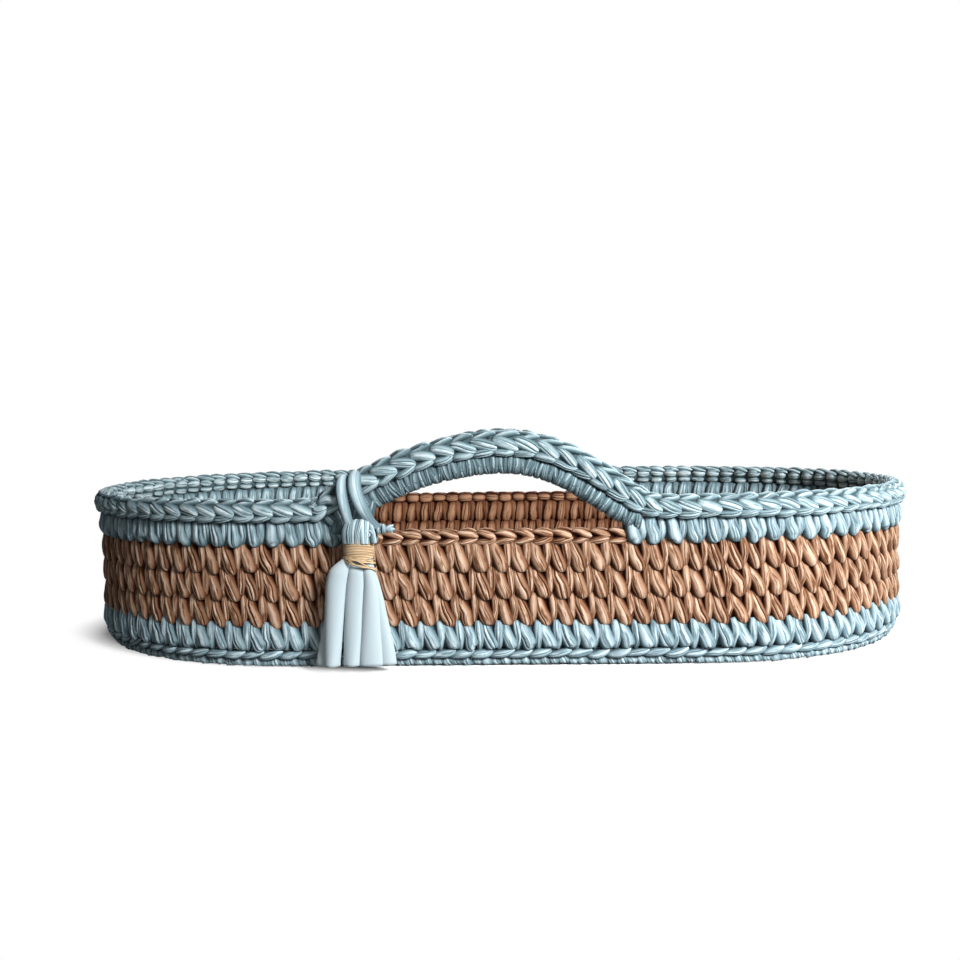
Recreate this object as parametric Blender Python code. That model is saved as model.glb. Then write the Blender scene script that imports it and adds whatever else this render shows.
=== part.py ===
"""A crocheted moses basket with an oval drilled board, worked rounds, two carrying handles and a tassel.

Metres, +Z up. The origin is the middle of the basket where it stands on the floor.
+X runs along the basket, -Y is the front, which carries the tassel.
"""

import math

import bmesh
import bpy
from mathutils import Vector

# Sizes over the rim.
basket_length = 0.800
basket_width = 0.380
end_length = 0.2185
board_drop_clearance = 0.0003
seam_gap = 0.0003

# Drilled board and the round worked through its holes.
board_thickness = 0.0040
board_edge_inset = 0.0125
hole_diameter = 0.0060
hole_edge_distance = 0.0075
hole_count = 64
underside_yarn = 0.0021
lip_reach = 0.0125

# Rounds of the wall, from the floor up: height, depth through the wall and inset of the outer face.
# Closed wall rounds are in four runs, whose ends reach this far onto the straight sides.
end_run_reach = 0.0100
foundation_height = 0.0080
foundation_inset = 0.0100
foot_chain_height = 0.0072
foot_chain_depth = 0.0100
foot_chain_inset = 0.0075
lower_blue_height = 0.0200
lower_blue_depth = 0.0140
lower_blue_inset = 0.0050
tan_height = 0.0231
tan_depth = 0.0135
tan_inset = 0.0065
upper_blue_height = 0.0203
upper_blue_depth = 0.0145
upper_blue_inset = 0.0040
rim_height = 0.0195
rim_depth = 0.0180

# Chain that edges the top of the last tan round under each hand hole.
sill_height = 0.0110
sill_depth = 0.0130

# Handles that arch over the straight stretch of each side, as shares of its half length.
handle_centre_share = -0.0176
handle_span_share = 0.8044
front_handle_rise = 0.0525
rear_handle_rise = 0.0445
# Hand holes and hinges, as shares of the handle's half span from its middle.
hole_left_share = -0.8425
hole_right_share = 0.7842
hinge_left_share = -0.6301
hinge_right_share = 0.7123
hinge_lift_share = 0.404
handle_braid_height = 0.0225
wrap_height = 0.0122
wrap_depth = 0.0145
core_diameter = 0.0074
core_clearance = 0.0005
core_end_recess = 0.0040
foot_left_reach = 0.0170
foot_right_reach = 0.0160

# Two strands over the handle's left foot. Offsets run along the basket from the tassel's middle.
strand_width = 0.0095
strand_thickness = 0.0032
strand_lift = 0.0004
left_strand_offset = -0.0165
left_strand_end_offset = -0.0170
left_strand_return_offset = -0.0080
right_strand_offset = -0.0025
right_strand_end_offset = 0.0170
right_strand_return_offset = 0.0040

# Tassel that hangs on them. Its middle stands this far inside the hand hole's left corner.
tassel_offset = 0.0135
tassel_stand_off = 0.0065
cord_drop = 0.0033
cord_diameter = 0.0036
cord_length = 0.0445
cord_clearance = 0.0003
head_width = 0.0255
head_depth = 0.0150
head_height = 0.0170
head_pleats = 9
pleat_depth_share = 0.055
binding_turns = 9
binding_thread = 0.0015
binding_height = 0.0190
binding_width = 0.0225
binding_depth = 0.0160
binding_clearance = 0.0003
skirt_length = 0.0850
strip_thickness = 0.0030
strip_gap = 0.0006
layer_gap = 0.0012
knot_length = 0.0100
knot_width = 0.0070

# Facets.
end_segments = 16
route_segments = 18
stem_segments = 7
foot_segments = 8
sill_segments = 6
cord_segments = 8
turn_segments = 16
segments_per_pleat = 4
wrap_sides = 10
core_sides = 8
strand_sides = 8
knot_sides = 8
hole_sides = 6
tunnel_sides = 12
strip_columns = 6

# Height of the seam between wall and rim along the handle: place along the half span, share of the rise.
handle_route_shares = (
    (-1.00, 0.00), (-0.90, 0.15), (-0.81, 0.285), (-0.725, 0.405), (-0.64, 0.52), (-0.46, 0.735),
    (-0.27, 0.885), (-0.075, 0.98), (0.04, 1.00), (0.16, 0.985), (0.295, 0.905), (0.44, 0.745),
    (0.535, 0.59), (0.63, 0.425), (0.725, 0.25), (0.815, 0.115), (0.90, 0.03), (1.00, 0.00),
)

# Sections as shares of depth (outwards from the middle) and height (up from the bottom).
round_section_shares = (
    (-0.34, 0.00), (0.36, 0.00), (0.49, 0.20), (0.47, 0.52), (0.33, 0.84), (0.20, 1.00),
    (-0.26, 1.00), (-0.46, 0.80), (-0.50, 0.30),
)
chain_section_shares = (
    (-0.30, 0.00), (0.30, 0.00), (0.50, 0.30), (0.50, 0.70), (0.30, 1.00), (-0.30, 1.00),
    (-0.50, 0.70), (-0.50, 0.30),
)
rim_section_shares = (
    (-0.26, 0.00), (0.26, 0.00), (0.45, 0.16), (0.50, 0.42), (0.44, 0.70), (0.26, 0.93), (0.00, 1.00),
    (-0.26, 0.93), (-0.44, 0.72), (-0.50, 0.42), (-0.45, 0.16),
)

# Tassel strips: column in the binding, place across the skirt, width as a share of it, layer (-1 front) and fold.
skirt_width = 0.0700
strip_shares = (
    ("tassel_strip_back_left", -1, -0.345, 0.29, 1.0, 0.16),
    ("tassel_strip_back_middle", 0, -0.015, 0.33, 1.0, -0.12),
    ("tassel_strip_back_right", 1, 0.345, 0.29, 1.0, 0.18),
    ("tassel_strip_front_left", -1, -0.235, 0.29, -1.0, -0.20),
    ("tassel_strip_front_middle", 0, 0.04, 0.24, -1.0, 0.17),
    ("tassel_strip_front_right", 1, 0.315, 0.29, -1.0, -0.18),
)
# Share of the spread and of the fold that a strip has at a share of the way down.
strip_fall_shares = (
    (0.00, 0.00), (0.06, 0.12), (0.14, 0.42), (0.24, 0.60), (0.42, 0.73), (0.64, 0.86), (0.84, 0.95), (1.00, 1.00),
)
# How much narrower, nearer the middle, thinner and less apart the outer strips are inside the binding.
outer_neck_width_share = 0.80
outer_neck_place_share = 0.92
outer_neck_depth_share = 0.72
outer_neck_layer_share = 0.78
hem_layer_share = 0.9
strip_edge_share = 0.35
fold_depth_share = 3.0
flattening_share = 1.6

# Strand up the front: share of its drift along the basket, of the way in from the cord to the rim, of the rise.
strand_front_shares = ((1.00, 0.0, 0.00), (1.00, 0.0, 0.06), (0.86, 0.5, 0.18), (0.60, 1.0, 0.36))
# Strand over the top: share of its drift, then place across and drop as shares of its reach from the rim's middle.
strand_rise_shares = ((0.22, -1.00, 1.10), (0.06, -0.72, 0.28), (0.00, 0.00, 0.00))
strand_fall_shares = ((0.00, 0.72, 0.28), (0.10, 1.00, 1.10))
# Strand behind: share of its drift and of the rise. Then it comes out again under the foot.
strand_back_shares = ((0.50, 0.36), (0.80, 0.08))
strand_return_shares = (0.5, -0.6)
# Tassel's head and knot: share of the height or length, share of the width.
head_shares = ((0.0, 0.80), (0.14, 0.95), (0.40, 1.0), (0.66, 0.90), (0.86, 0.64), (1.0, 0.28))
head_above_cord_share = 0.38
knot_shares = ((0.0, 0.62), (0.18, 0.98), (0.42, 0.80), (0.62, 0.52), (0.82, 0.82), (1.0, 0.66))

half_length = basket_length / 2
half_width = basket_width / 2
straight_half = half_length - end_length

foot_chain_bottom = foundation_height
lower_blue_bottom = foot_chain_bottom + foot_chain_height
tan_bottom = lower_blue_bottom + lower_blue_height
upper_blue_bottom = tan_bottom + 3 * tan_height
rim_bottom = upper_blue_bottom + upper_blue_height
wall_middle_inset = rim_depth / 2

handle_centre_x = straight_half * handle_centre_share
handle_half_span = straight_half * handle_span_share
hole_left_x = handle_centre_x + handle_half_span * hole_left_share
hole_right_x = handle_centre_x + handle_half_span * hole_right_share
hinge_left_x = handle_centre_x + handle_half_span * hinge_left_share
hinge_right_x = handle_centre_x + handle_half_span * hinge_right_share
tassel_x = hole_left_x + tassel_offset
cord_height = rim_bottom - cord_drop


def clear_scene():
    for item in list(bpy.data.objects):
        bpy.data.objects.remove(item, do_unlink=True)


def make_collection(name):
    collection = bpy.data.collections.new(name)
    bpy.context.scene.collection.children.link(collection)
    return collection


def make_material(name, colour, roughness):
    material = bpy.data.materials.new(name)
    material.use_nodes = True
    shader = material.node_tree.nodes["Principled BSDF"]
    shader.inputs["Base Color"].default_value = (*colour, 1.0)
    shader.inputs["Roughness"].default_value = roughness
    shader.inputs["Metallic"].default_value = 0.0
    material.diffuse_color = (*colour, 1.0)
    return material


def add_object(name, data, collection):
    item = bpy.data.objects.new(name, data)
    collection.objects.link(item)
    return item


def smooth(item, degrees=40):
    item.data.shade_smooth()
    item.data.set_sharp_from_angle(angle=math.radians(degrees))


def interpolate(table, x):
    """Read a table of (place, value) pairs at x, along a smooth curve through its points."""
    if x <= table[0][0]:
        return table[0][1]
    if x >= table[-1][0]:
        return table[-1][1]
    index = next(i for i in range(1, len(table)) if x <= table[i][0])
    before = table[max(index - 2, 0)]
    start, end = table[index - 1], table[index]
    after = table[min(index + 1, len(table) - 1)]
    span = end[0] - start[0]
    t = (x - start[0]) / span
    slope_in = (end[1] - before[1]) / (end[0] - before[0]) * span
    slope_out = (after[1] - start[1]) / (after[0] - start[0]) * span
    if index == 1:
        slope_in = 0.0
    if index == len(table) - 1:
        slope_out = 0.0
    return (
        (2 * t**3 - 3 * t**2 + 1) * start[1] + (t**3 - 2 * t**2 + t) * slope_in
        + (3 * t**2 - 2 * t**3) * end[1] + (t**3 - t**2) * slope_out
    )


def handle_rise(face):
    """Rise of a handle's seam: face is -1 at the front and 1 at the rear, where the handle is slacker."""
    return front_handle_rise if face < 0 else rear_handle_rise


def seam_height(x, face):
    """Height of the seam under the rim at a place along the front or the rear."""
    share = interpolate(handle_route_shares, (x - handle_centre_x) / handle_half_span)
    return rim_bottom + handle_rise(face) * share


def seam_stretch(x, face):
    """How much taller a section is when it is cut upright where the seam slopes."""
    step = handle_half_span / 100
    slope = (seam_height(x + step, face) - seam_height(x - step, face)) / (2 * step)
    return math.sqrt(1 + slope * slope)


def end_arc(side, inset):
    """Points round one end, from the front to the rear: side is -1 on the left, 1 on the right."""
    points = []
    for i in range(end_segments + 1):
        angle = math.pi * (i / end_segments - 0.5)
        x = side * (straight_half + (end_length - inset) * math.cos(angle))
        points.append((x, (half_width - inset) * math.sin(angle)))
    return points


def oval(inset):
    return end_arc(1, inset) + end_arc(-1, inset)[::-1]


def scaled_section(shares, depth, height):
    return [(u * depth, v * height) for u, v in shares]


def add_profile(name, section, collection):
    """A flat closed outline that a curve carries along as its section."""
    curve = bpy.data.curves.new(name, "CURVE")
    curve.dimensions = "2D"
    spline = curve.splines.new("POLY")
    spline.points.add(len(section) - 1)
    for point, (u, v) in zip(spline.points, section[::-1]):
        point.co = (u, v, 0, 1)
    spline.use_cyclic_u = True
    profile = add_object(name, curve, collection)
    profile.hide_render = True
    profile.display_type = "WIRE"
    return profile


def add_curve(name, points, collection, cyclic=False):
    curve = bpy.data.curves.new(name, "CURVE")
    curve.dimensions = "3D"
    curve.twist_mode = "Z_UP"
    curve.use_fill_caps = True
    curve.resolution_u = 1
    curve.render_resolution_u = 0
    spline = curve.splines.new("POLY")
    spline.points.add(len(points) - 1)
    for point, place in zip(spline.points, points):
        point.co = (*place, 1)
    spline.use_cyclic_u = cyclic
    return add_object(name, curve, collection)


def add_round(name, points, bottom, section, material, cyclic=True):
    """One worked round: its section is carried along a level path."""
    level = [(x, y, bottom) for x, y in points]
    ring = add_curve(name, level, parts, cyclic)
    ring.data.bevel_mode = "OBJECT"
    ring.data.bevel_object = add_profile(name + "_section", section, guides)
    ring.data.materials.append(material)
    return ring


def loft(name, sections, material, bore=None):
    """Join sections of equal counts into one closed skin, with an open bore if one is given."""
    shape = bmesh.new()
    skins = [[[shape.verts.new(point) for point in section] for section in sections]]
    if bore:
        skins.append([[shape.verts.new(point) for point in section] for section in bore])
    for rings in skins:
        for first, second in zip(rings, rings[1:]):
            for i in range(len(first)):
                j = (i + 1) % len(first)
                shape.faces.new((first[i], first[j], second[j], second[i]))
    for end in (0, -1):
        if bore:
            outer, inner = skins[0][end], skins[1][end]
            for i in range(len(outer)):
                j = (i + 1) % len(outer)
                shape.faces.new((outer[i], outer[j], inner[j], inner[i]))
        else:
            shape.faces.new(skins[0][end])
    bmesh.ops.recalc_face_normals(shape, faces=shape.faces)
    mesh = bpy.data.meshes.new(name)
    shape.to_mesh(mesh)
    shape.free()
    mesh.materials.append(material)
    item = add_object(name, mesh, parts)
    smooth(item)
    return item


def cut(item, cutter):
    """Take a cutter out of a piece."""
    cutter.hide_render = True
    cutter.display_type = "WIRE"
    modifier = item.modifiers.new("cut", "BOOLEAN")
    modifier.operation = "DIFFERENCE"
    modifier.solver = "EXACT"
    modifier.object = cutter


def add_board(material):
    """The drilled oval board that stiffens the base. Its middle, clear of the yarn, is a face of its own."""
    bottom = underside_yarn + board_drop_clearance
    top = bottom + board_thickness
    middle_inset = board_edge_inset + lip_reach
    board = loft(
        "base_board",
        [
            [Vector((x, y, z)) for x, y in oval(inset)]
            for inset, z in (
                (middle_inset, bottom), (board_edge_inset, bottom), (board_edge_inset, top), (middle_inset, top),
            )
        ],
        material,
    )

    shape = bmesh.new()
    for x, y in hole_places():
        made = bmesh.ops.create_cone(
            shape, cap_ends=True, segments=hole_sides, radius1=hole_diameter / 2,
            radius2=hole_diameter / 2, depth=board_thickness * 2,
        )
        bmesh.ops.translate(shape, verts=made["verts"], vec=(x, y, 0))
    mesh = bpy.data.meshes.new("board_hole_cutters")
    shape.to_mesh(mesh)
    shape.free()
    drills = add_object("board_hole_cutters", mesh, guides)
    drills.location.z = (bottom + top) / 2
    cut(board, drills)


def hole_places():
    """Evenly spaced places along the line of holes inside the board's edge."""
    line = [Vector((x, y)) for x, y in oval(board_edge_inset + hole_edge_distance)]
    steps = list(zip(line, line[1:] + line[:1]))
    total = sum((b - a).length for a, b in steps)
    places = []
    travelled = 0.0
    for a, b in steps:
        length = (b - a).length
        while len(places) < hole_count and len(places) * total / hole_count < travelled + length:
            share = (len(places) * total / hole_count - travelled) / length
            places.append(a.lerp(b, share))
        travelled += length
    return places


def foundation_section():
    """A channel that grips the board's edge: flat below, a short lip over the top."""
    reach = board_edge_inset - foundation_inset - board_drop_clearance
    slot_bottom = underside_yarn
    slot_top = underside_yarn + board_thickness + 2 * board_drop_clearance
    round_in = reach / 2
    return [
        (reach - lip_reach, 0.0), (reach - round_in, 0.0), (reach, slot_bottom), (reach, slot_top),
        (reach - round_in, foundation_height - seam_gap), (reach - lip_reach, foundation_height - seam_gap),
        (reach - lip_reach, slot_top), (0.0, slot_top), (0.0, slot_bottom), (reach - lip_reach, slot_bottom),
    ]


def wall_points(side, inset, edge_x):
    """Path of a round from one hand hole, round one end, to the other: anticlockwise from above."""
    arc = end_arc(side, inset)[::side]
    return [(edge_x, arc[0][1])] + arc + [(edge_x, arc[-1][1])]


def add_wall_round(name, inset, depth, bottom, height, material):
    """A closed round of the wall in four runs: two ends, a front and a rear."""
    section = scaled_section(round_section_shares, depth, height - seam_gap)
    middle = inset + depth / 2
    join_x = straight_half - end_run_reach
    for side, side_name in ((-1, "_left"), (1, "_right")):
        path = wall_points(side, middle, side * join_x)
        add_round(name + side_name, path, bottom, section, material, cyclic=False)
    for face, face_name in ((-1, "_front"), (1, "_rear")):
        end_x = -face * (join_x - seam_gap)
        path = [(x, face * (half_width - middle)) for x in (-end_x, end_x)]
        add_round(name + face_name, path, bottom, section, material, cyclic=False)


def upright_section(x, y_middle, outwards, shares, depth, bottom, top):
    """A section cut upright at x, between two distances from the seam, measured square to it."""
    stretch = seam_stretch(x, outwards)
    seam = seam_height(x, outwards)
    return [
        Vector((x, y_middle + outwards * u * depth, seam + (bottom + v * (top - bottom)) * stretch))
        for u, v in shares
    ]


def add_rim(name, side, edge_x, material):
    """The braid of the rim round one end, with both of its stems rising into the handles."""
    middle = half_width - wall_middle_inset
    far_x = handle_centre_x + side * handle_half_span
    stem = handle_xs(edge_x, far_x, stem_segments)[:-1]
    sections = []
    for x in stem:
        blend = abs(x - far_x) / abs(edge_x - far_x)
        height = rim_height + (handle_braid_height - rim_height) * blend
        sections.append(upright_section(x, -middle, -1, rim_section_shares, rim_depth, seam_gap / 2, height))
    arc = end_arc(side, wall_middle_inset)
    for i, (x, y) in enumerate(arc):
        before, after = arc[max(i - 1, 0)], arc[min(i + 1, len(arc) - 1)]
        along = Vector((after[0] - before[0], after[1] - before[1], 0)).normalized()
        outward = Vector((along.y, -along.x, 0)) * side
        if i in (0, len(arc) - 1):
            outward = Vector((0, math.copysign(1, y), 0))
        sections.append([
            Vector((x, y, rim_bottom)) + outward * (u * rim_depth)
            + Vector((0, 0, seam_gap / 2 + v * (rim_height - seam_gap / 2)))
            for u, v in rim_section_shares
        ])
    for x in stem[::-1]:
        blend = abs(x - far_x) / abs(edge_x - far_x)
        height = rim_height + (handle_braid_height - rim_height) * blend
        sections.append(upright_section(x, middle, 1, rim_section_shares, rim_depth, seam_gap / 2, height))
    return loft(name, sections, material)


def handle_xs(first, last, count):
    return [first + (last - first) * i / count for i in range(count + 1)]


def round_shares(count):
    """A circle as shares of a section: half across, whole height."""
    return [
        (0.5 * math.cos(2 * math.pi * i / count), 0.5 + 0.5 * math.sin(2 * math.pi * i / count))
        for i in range(count)
    ]


def add_handle(prefix, face, braid_material, wrap_material, core_material):
    """One handle: face is -1 at the front and 1 at the rear."""
    middle = face * (half_width - wall_middle_inset)
    first = hinge_left_x + seam_gap / 2
    last = hinge_right_x - seam_gap / 2
    xs = handle_xs(first, last, route_segments)
    hinge_height = rim_bottom + handle_rise(face) * hinge_lift_share
    origin = Vector(((hinge_left_x + hinge_right_x) / 2, middle, hinge_height))

    braid = loft(
        prefix + "_handle_braid",
        [upright_section(x, middle, face, rim_section_shares, rim_depth, seam_gap / 2, handle_braid_height)
         for x in xs],
        braid_material,
    )
    circle = round_shares(wrap_sides)
    outer = [upright_section(x, middle, face, circle, wrap_depth, -wrap_height, -seam_gap / 2) for x in xs]
    bore_diameter = core_diameter + 2 * core_clearance
    core_offset = -(wrap_height + seam_gap / 2) / 2
    bore = [
        upright_section(
            x, middle, face, circle, bore_diameter,
            core_offset - bore_diameter / 2, core_offset + bore_diameter / 2,
        )
        for x in xs
    ]
    wrap = loft(prefix + "_handle_wrap", outer, wrap_material, bore=bore)
    core = loft(
        prefix + "_handle_core",
        [
            upright_section(
                x, middle, face, round_shares(core_sides), core_diameter,
                core_offset - core_diameter / 2, core_offset + core_diameter / 2,
            )
            for x in handle_xs(first + core_end_recess, last - core_end_recess, route_segments)
        ],
        core_material,
    )
    hang_on_joint((braid, wrap, core), prefix + "_handle_joint", origin)


def hang_on_joint(items, name, place):
    """Parent moving pieces to an empty on their joint's axis, leaving them where they are."""
    joint = add_object(name, None, guides)
    joint.location = place
    bpy.context.view_layer.update()
    for item in items:
        item.parent = joint
        item.matrix_parent_inverse = joint.matrix_world.inverted()


def add_foot_wrap(name, face, edge_x, reach_x, hole_x, material):
    """The wound foot of a handle: it stands on the last blue round and closes the hand hole's corner."""
    middle = face * (half_width - wall_middle_inset)
    sections = [
        upright_section(x, middle, face, round_shares(wrap_sides), wrap_depth, -wrap_height, -seam_gap / 2)
        for x in handle_xs(edge_x, reach_x, foot_segments)
    ]
    foot = loft(name, sections, material)
    outside = math.copysign(1, reach_x - edge_x)
    clear_x = hole_x - outside * seam_gap
    depth = wrap_depth * 2
    length = abs(reach_x - hole_x) * 2
    height = wrap_height * 2
    shape = bmesh.new()
    bmesh.ops.create_cube(shape, size=1)
    bmesh.ops.scale(shape, verts=shape.verts, vec=(length, depth, height))
    bmesh.ops.translate(
        shape, verts=shape.verts,
        vec=(clear_x + outside * length / 2, middle, rim_bottom - height / 2),
    )
    mesh = bpy.data.meshes.new(name + "_cutter")
    shape.to_mesh(mesh)
    shape.free()
    cut(foot, add_object(name + "_cutter", mesh, guides))
    return foot


def add_sill(name, face, material):
    """The chain along the bottom of a hand hole."""
    inset = tan_inset + tan_depth / 2
    y = face * (half_width - inset)
    first = hole_left_x + seam_gap
    last = hole_right_x - seam_gap
    path = [(x, y) for x in handle_xs(first, last, sill_segments)]
    section = scaled_section(chain_section_shares, sill_depth, sill_height - seam_gap)
    return add_round(name, path, upper_blue_bottom, section, material, cyclic=False)


def strand_route(top_x, end_x, return_x):
    """Middle line of a strand: up from the tassel's cord, over the handle's foot, down inside and out again."""
    middle = -(half_width - wall_middle_inset)
    reach = rim_depth / 2 + strand_lift + strand_thickness / 2
    braid_top = seam_height(top_x, -1) + handle_braid_height * seam_stretch(top_x, -1)
    top = braid_top + strand_lift + strand_thickness / 2
    wrap_reach = wrap_depth / 2 + strand_lift + strand_thickness / 2
    cord_y = -(half_width + tassel_stand_off)
    front = middle - reach
    low = cord_height + cord_diameter / 2 + 2 * strand_lift
    rise = top - low
    drift = end_x - top_x
    back_drift = return_x - top_x
    route = [
        (top_x + drift * along, cord_y + (front - cord_y) * inward, low + rise * up)
        for along, inward, up in strand_front_shares
    ]
    route += [
        (top_x + drift * along, middle + reach * across, top - reach * down)
        for along, across, down in strand_rise_shares
    ]
    route += [
        (top_x + back_drift * along, middle + reach * across, top - reach * down)
        for along, across, down in strand_fall_shares
    ]
    route += [
        (top_x + back_drift * along, middle + (reach if along <= 0.5 else wrap_reach), low + rise * up)
        for along, up in strand_back_shares
    ]
    route += [(return_x, middle + wrap_reach * across, cord_height) for across in strand_return_shares]
    return route


def smooth_route(points, per_span):
    """Points along a smooth line through a route's own points."""
    places = [Vector(point) for point in points]
    result = []
    for i in range(len(places) - 1):
        before = places[max(i - 1, 0)]
        start, end = places[i], places[i + 1]
        after = places[min(i + 2, len(places) - 1)]
        for step in range(per_span):
            t = step / per_span
            result.append(0.5 * (
                2 * start + (end - before) * t + (2 * before - 5 * start + 4 * end - after) * t * t
                + (3 * start - before - 3 * end + after) * t * t * t
            ))
    result.append(places[-1])
    return result


def add_strand(name, top_offset, end_offset, return_offset, material):
    """A flattened strand of yarn round the handle's foot, its width lying along the rim."""
    line = smooth_route(
        strand_route(tassel_x + top_offset, tassel_x + end_offset, tassel_x + return_offset), 2,
    )
    across = Vector((1, 0, 0))
    sections = []
    for i, place in enumerate(line):
        along = (line[min(i + 1, len(line) - 1)] - line[max(i - 1, 0)]).normalized()
        side = (across - along * across.dot(along)).normalized()
        up = along.cross(side)
        sections.append([
            place + side * (strand_width / 2 * math.cos(2 * math.pi * k / strand_sides))
            + up * (strand_thickness / 2 * math.sin(2 * math.pi * k / strand_sides))
            for k in range(strand_sides)
        ])
    return loft(name, sections, material)


def oval_ring(x, y, z, width, depth, pleat_share):
    """A level oval of the tassel's head, with its pleats."""
    ring = []
    count = head_pleats * segments_per_pleat
    for i in range(count):
        angle = 2 * math.pi * i / count
        swell = 1 + pleat_share * math.cos(head_pleats * angle)
        ring.append(Vector((
            x + width / 2 * math.cos(angle) * swell, y + depth / 2 * math.sin(angle) * swell, z,
        )))
    return ring


def add_tassel(materials):
    """The tassel: a cord through the folded head, a thread binding and six hanging strips."""
    y = -(half_width + tassel_stand_off)
    neck_height = cord_height - head_height * (1 - head_above_cord_share)
    binding_bottom = neck_height - binding_clearance - binding_height
    pivot = Vector((tassel_x, y, cord_height))

    # Cord that the strips are folded over, with its knot at the right.
    half = cord_length / 2
    cord_xs = handle_xs(tassel_x - half, tassel_x + half, cord_segments)
    cord = add_curve("tassel_cord", [(x, y, cord_height) for x in cord_xs], parts)
    cord.data.bevel_depth = cord_diameter / 2
    cord.data.bevel_resolution = 2
    cord.data.materials.append(materials["blue"])

    knot_x = tassel_x + half + seam_gap
    knot_sections = []
    for share, size in knot_shares:
        radius = knot_width / 2 * size
        knot_sections.append([
            Vector((
                knot_x + knot_length * share, y + radius * math.cos(2 * math.pi * k / knot_sides),
                cord_height + radius * math.sin(2 * math.pi * k / knot_sides),
            ))
            for k in range(knot_sides)
        ])
    loft("tassel_knot", knot_sections, materials["blue"])

    # Folded head, drawn in at the neck.
    head_sections = []
    for share, size in head_shares:
        z = neck_height + head_height * share
        pleat = pleat_depth_share * abs(math.sin(math.pi * min(1.0, 0.25 + share)))
        head_sections.append(oval_ring(tassel_x, y, z, head_width * size, head_depth * size, pleat))
    head = loft("tassel_head", head_sections, materials["skirt"])
    tunnel_shape = bmesh.new()
    bmesh.ops.create_cone(
        tunnel_shape, cap_ends=True, segments=tunnel_sides, radius1=cord_diameter / 2 + cord_clearance,
        radius2=cord_diameter / 2 + cord_clearance, depth=head_width * 2,
    )
    tunnel_mesh = bpy.data.meshes.new("tassel_head_cutter")
    tunnel_shape.to_mesh(tunnel_mesh)
    tunnel_shape.free()
    tunnel = add_object("tassel_head_cutter", tunnel_mesh, guides)
    tunnel.rotation_euler = (0, math.pi / 2, 0)
    tunnel.location = pivot
    cut(head, tunnel)

    # Thread wound round the neck in one unbroken helix.
    pitch = (binding_height - binding_thread) / binding_turns
    turn_points = []
    for i in range(binding_turns * turn_segments + 1):
        angle = 2 * math.pi * i / turn_segments
        turn_points.append((
            tassel_x + (binding_width - binding_thread) / 2 * math.cos(angle),
            y + (binding_depth - binding_thread) / 2 * math.sin(angle),
            binding_bottom + binding_thread / 2 + pitch * i / turn_segments,
        ))
    print("least gap between turns of the binding, mm:", round((pitch - binding_thread) * 1000, 3))
    binding = add_curve("tassel_binding", turn_points, parts)
    binding.data.bevel_depth = binding_thread / 2
    binding.data.bevel_resolution = 1
    binding.data.materials.append(materials["gold"])
    moving = [head, binding]

    # Strips, gathered inside the binding and spreading below it.
    inside = 2 * (binding_thread + binding_clearance)
    for name, *shares in strip_shares:
        moving.append(add_strip(
            name, shares, y, (neck_height - seam_gap, binding_bottom),
            (binding_width - inside, binding_depth - inside), materials["skirt"],
        ))
    hang_on_joint(moving, "tassel_joint", pivot)


def add_strip(name, shares, y, tops, inner_size, material):
    """One soft strip: a narrow neck inside the binding, then a folded band that widens to the hem."""
    column, place, width_share, layer, fold = shares
    neck_top, skirt_top = tops
    inner_width, inner_depth = inner_size
    neck_width = inner_width / 3 - strip_gap
    neck_depth = inner_depth / 2 - strip_gap
    neck_x = column * (inner_width / 3)
    neck_y = y + layer * inner_depth / 4
    if column:
        neck_width *= outer_neck_width_share
        neck_x *= outer_neck_place_share
        neck_depth *= outer_neck_depth_share
        neck_y = y + layer * inner_depth / 4 * outer_neck_layer_share
    hem_x = place * skirt_width
    hem_width = width_share * skirt_width - strip_gap
    hem_y = y + layer * (strip_thickness + layer_gap) * hem_layer_share
    sections = []
    rows = [(neck_top, 0.0), (skirt_top, 0.0)]
    rows += [(skirt_top - skirt_length * share, spread) for share, spread in strip_fall_shares[1:]]
    for z, spread in rows:
        width = neck_width + (hem_width - neck_width) * spread
        depth = neck_depth + (strip_thickness - neck_depth) * min(1.0, spread * flattening_share)
        x_middle = tassel_x + neck_x + (hem_x - neck_x) * spread
        y_middle = neck_y + (hem_y - neck_y) * spread
        bow = fold * strip_thickness * fold_depth_share * spread
        front, back = [], []
        for i in range(strip_columns + 1):
            s = -1 + 2 * i / strip_columns
            edge = math.sqrt(max(0.0, 1 - s * s))
            lie = bow * math.cos(math.pi * s)
            half_thick = depth / 2 * (strip_edge_share + (1 - strip_edge_share) * edge)
            front.append(Vector((x_middle + width / 2 * s, y_middle + lie - half_thick, z)))
            back.append(Vector((x_middle + width / 2 * s, y_middle + lie + half_thick, z)))
        sections.append(front + back[::-1])
    return loft(name, sections, material)


clear_scene()
parts = make_collection("moses_basket")
guides = make_collection("cutters_and_sections")

blue_yarn = make_material("blue_jersey_yarn", (0.36, 0.54, 0.61), 0.85)
tan_yarn = make_material("tan_jersey_yarn", (0.48, 0.24, 0.115), 0.85)
pale_yarn = make_material("pale_blue_jersey_strip", (0.62, 0.76, 0.80), 0.80)
rope = make_material("cotton_rope", (0.78, 0.73, 0.63), 0.90)
birch = make_material("birch_plywood", (0.70, 0.52, 0.33), 0.55)
gold_thread = make_material("gold_thread", (0.55, 0.34, 0.14), 0.60)

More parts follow.
